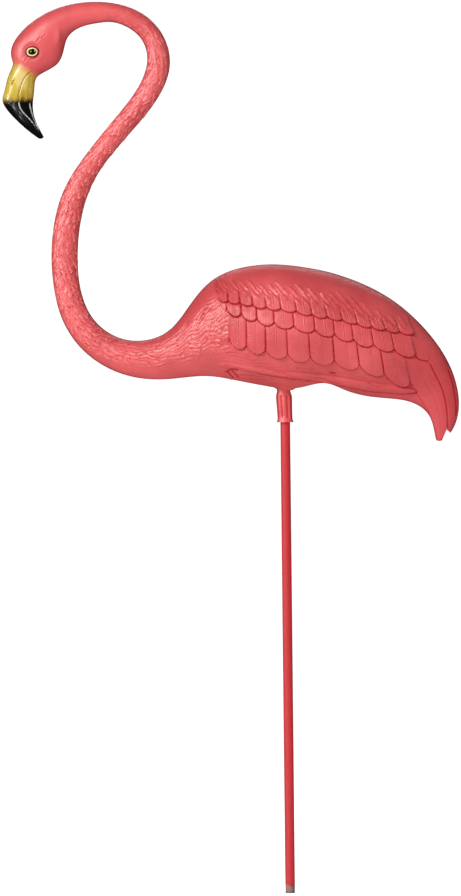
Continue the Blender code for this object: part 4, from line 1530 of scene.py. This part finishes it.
class FLAMINGO_OT_stage(bpy.types.Operator):
    """Sets the white floor and its round wall, the soft lights and the camera"""

    bl_idname = "flamingo.stage"
    bl_label = "Set the stage"

    def execute(self, context):
        settings = context.scene.flamingo_stage
        turns = np.linspace(0.0, math.pi / 2, COVE_STEPS)
        bend = [(WALL_RADIUS - COVE * (1 - math.sin(t)), COVE * (1 - math.cos(t))) for t in turns]
        floor = white_bowl([*bend, (WALL_RADIUS, WALL_HEIGHT)])
        smooth(floor.data)
        floor.data.materials.append(stage_material())
        floor.visible_diffuse = False
        floor.visible_glossy = False
        floor.visible_shadow = False

        middle = (-0.04, 0.0, 0.52)
        add_light("key", (-1.55, -2.3, 2.1), middle, (0.8, 0.8), settings.key_power)
        fill = add_light("fill", (-0.4, -3.2, 1.6), middle, (2.2, 2.2), settings.fill_power)
        fill.visible_glossy = False
        low = add_light("floor bounce", (0.0, -1.0, 0.005), (0.0, -1.0, 1.0), (4.0, 3.0), settings.low_power)
        low.visible_glossy = False
        side = add_light("side strip", (-2.2, -1.2, 1.1), middle, (0.35, 1.4), settings.side_power)
        side.visible_diffuse = False
        add_light("back", (0.0, 1.6, 1.7), middle, (2.0, 0.25), settings.back_power)
        world = bpy.data.worlds.new("room")
        world.use_nodes = True
        background = world.node_tree.nodes["Background"]
        background.inputs["Color"].default_value = (1.0, 1.0, 1.0, 1.0)
        background.inputs["Strength"].default_value = settings.surround
        world.cycles_visibility.glossy = False
        context.scene.world = world
        context.scene.view_settings.view_transform = "Standard"
        add_camera(settings)
        return {"FINISHED"}


class FLAMINGO_PT_panel(bpy.types.Panel):
    """Lists the ornament's pieces with their sizes and colours"""

    bl_idname = "FLAMINGO_PT_panel"
    bl_label = "Flamingo lawn ornament"
    bl_space_type = "VIEW_3D"
    bl_region_type = "UI"
    bl_category = "Flamingo"

    def draw(self, context):
        for operator, group in (
            ("flamingo.bird", context.scene.flamingo_bird),
            ("flamingo.stake", context.scene.flamingo_stake),
            ("flamingo.stage", context.scene.flamingo_stage),
        ):
            box = self.layout.box()
            for name in group.__annotations__:
                box.prop(group, name)
            box.operator(operator)


GROUPS = (
    ("flamingo_bird", BirdSettings),
    ("flamingo_stake", StakeSettings),
    ("flamingo_stage", StageSettings),
)
CLASSES = (FLAMINGO_OT_bird, FLAMINGO_OT_stake, FLAMINGO_OT_stage, FLAMINGO_PT_panel)


def register():
    """Adds the settings, operators and panel to Blender."""
    for name, group in GROUPS:
        bpy.utils.register_class(group)
        setattr(bpy.types.Scene, name, bpy.props.PointerProperty(type=group))
    for cls in CLASSES:
        bpy.utils.register_class(cls)


def unregister():
    """Takes the settings, operators and panel out of Blender."""
    for cls in reversed(CLASSES):
        bpy.utils.unregister_class(cls)
    for name, group in reversed(GROUPS):
        delattr(bpy.types.Scene, name)
        bpy.utils.unregister_class(group)


def main():
    """Builds the whole scene."""
    register()
    bpy.ops.flamingo.stage()
    bpy.ops.flamingo.bird()
    bpy.ops.flamingo.stake()


if __name__ == "__main__":
    main()
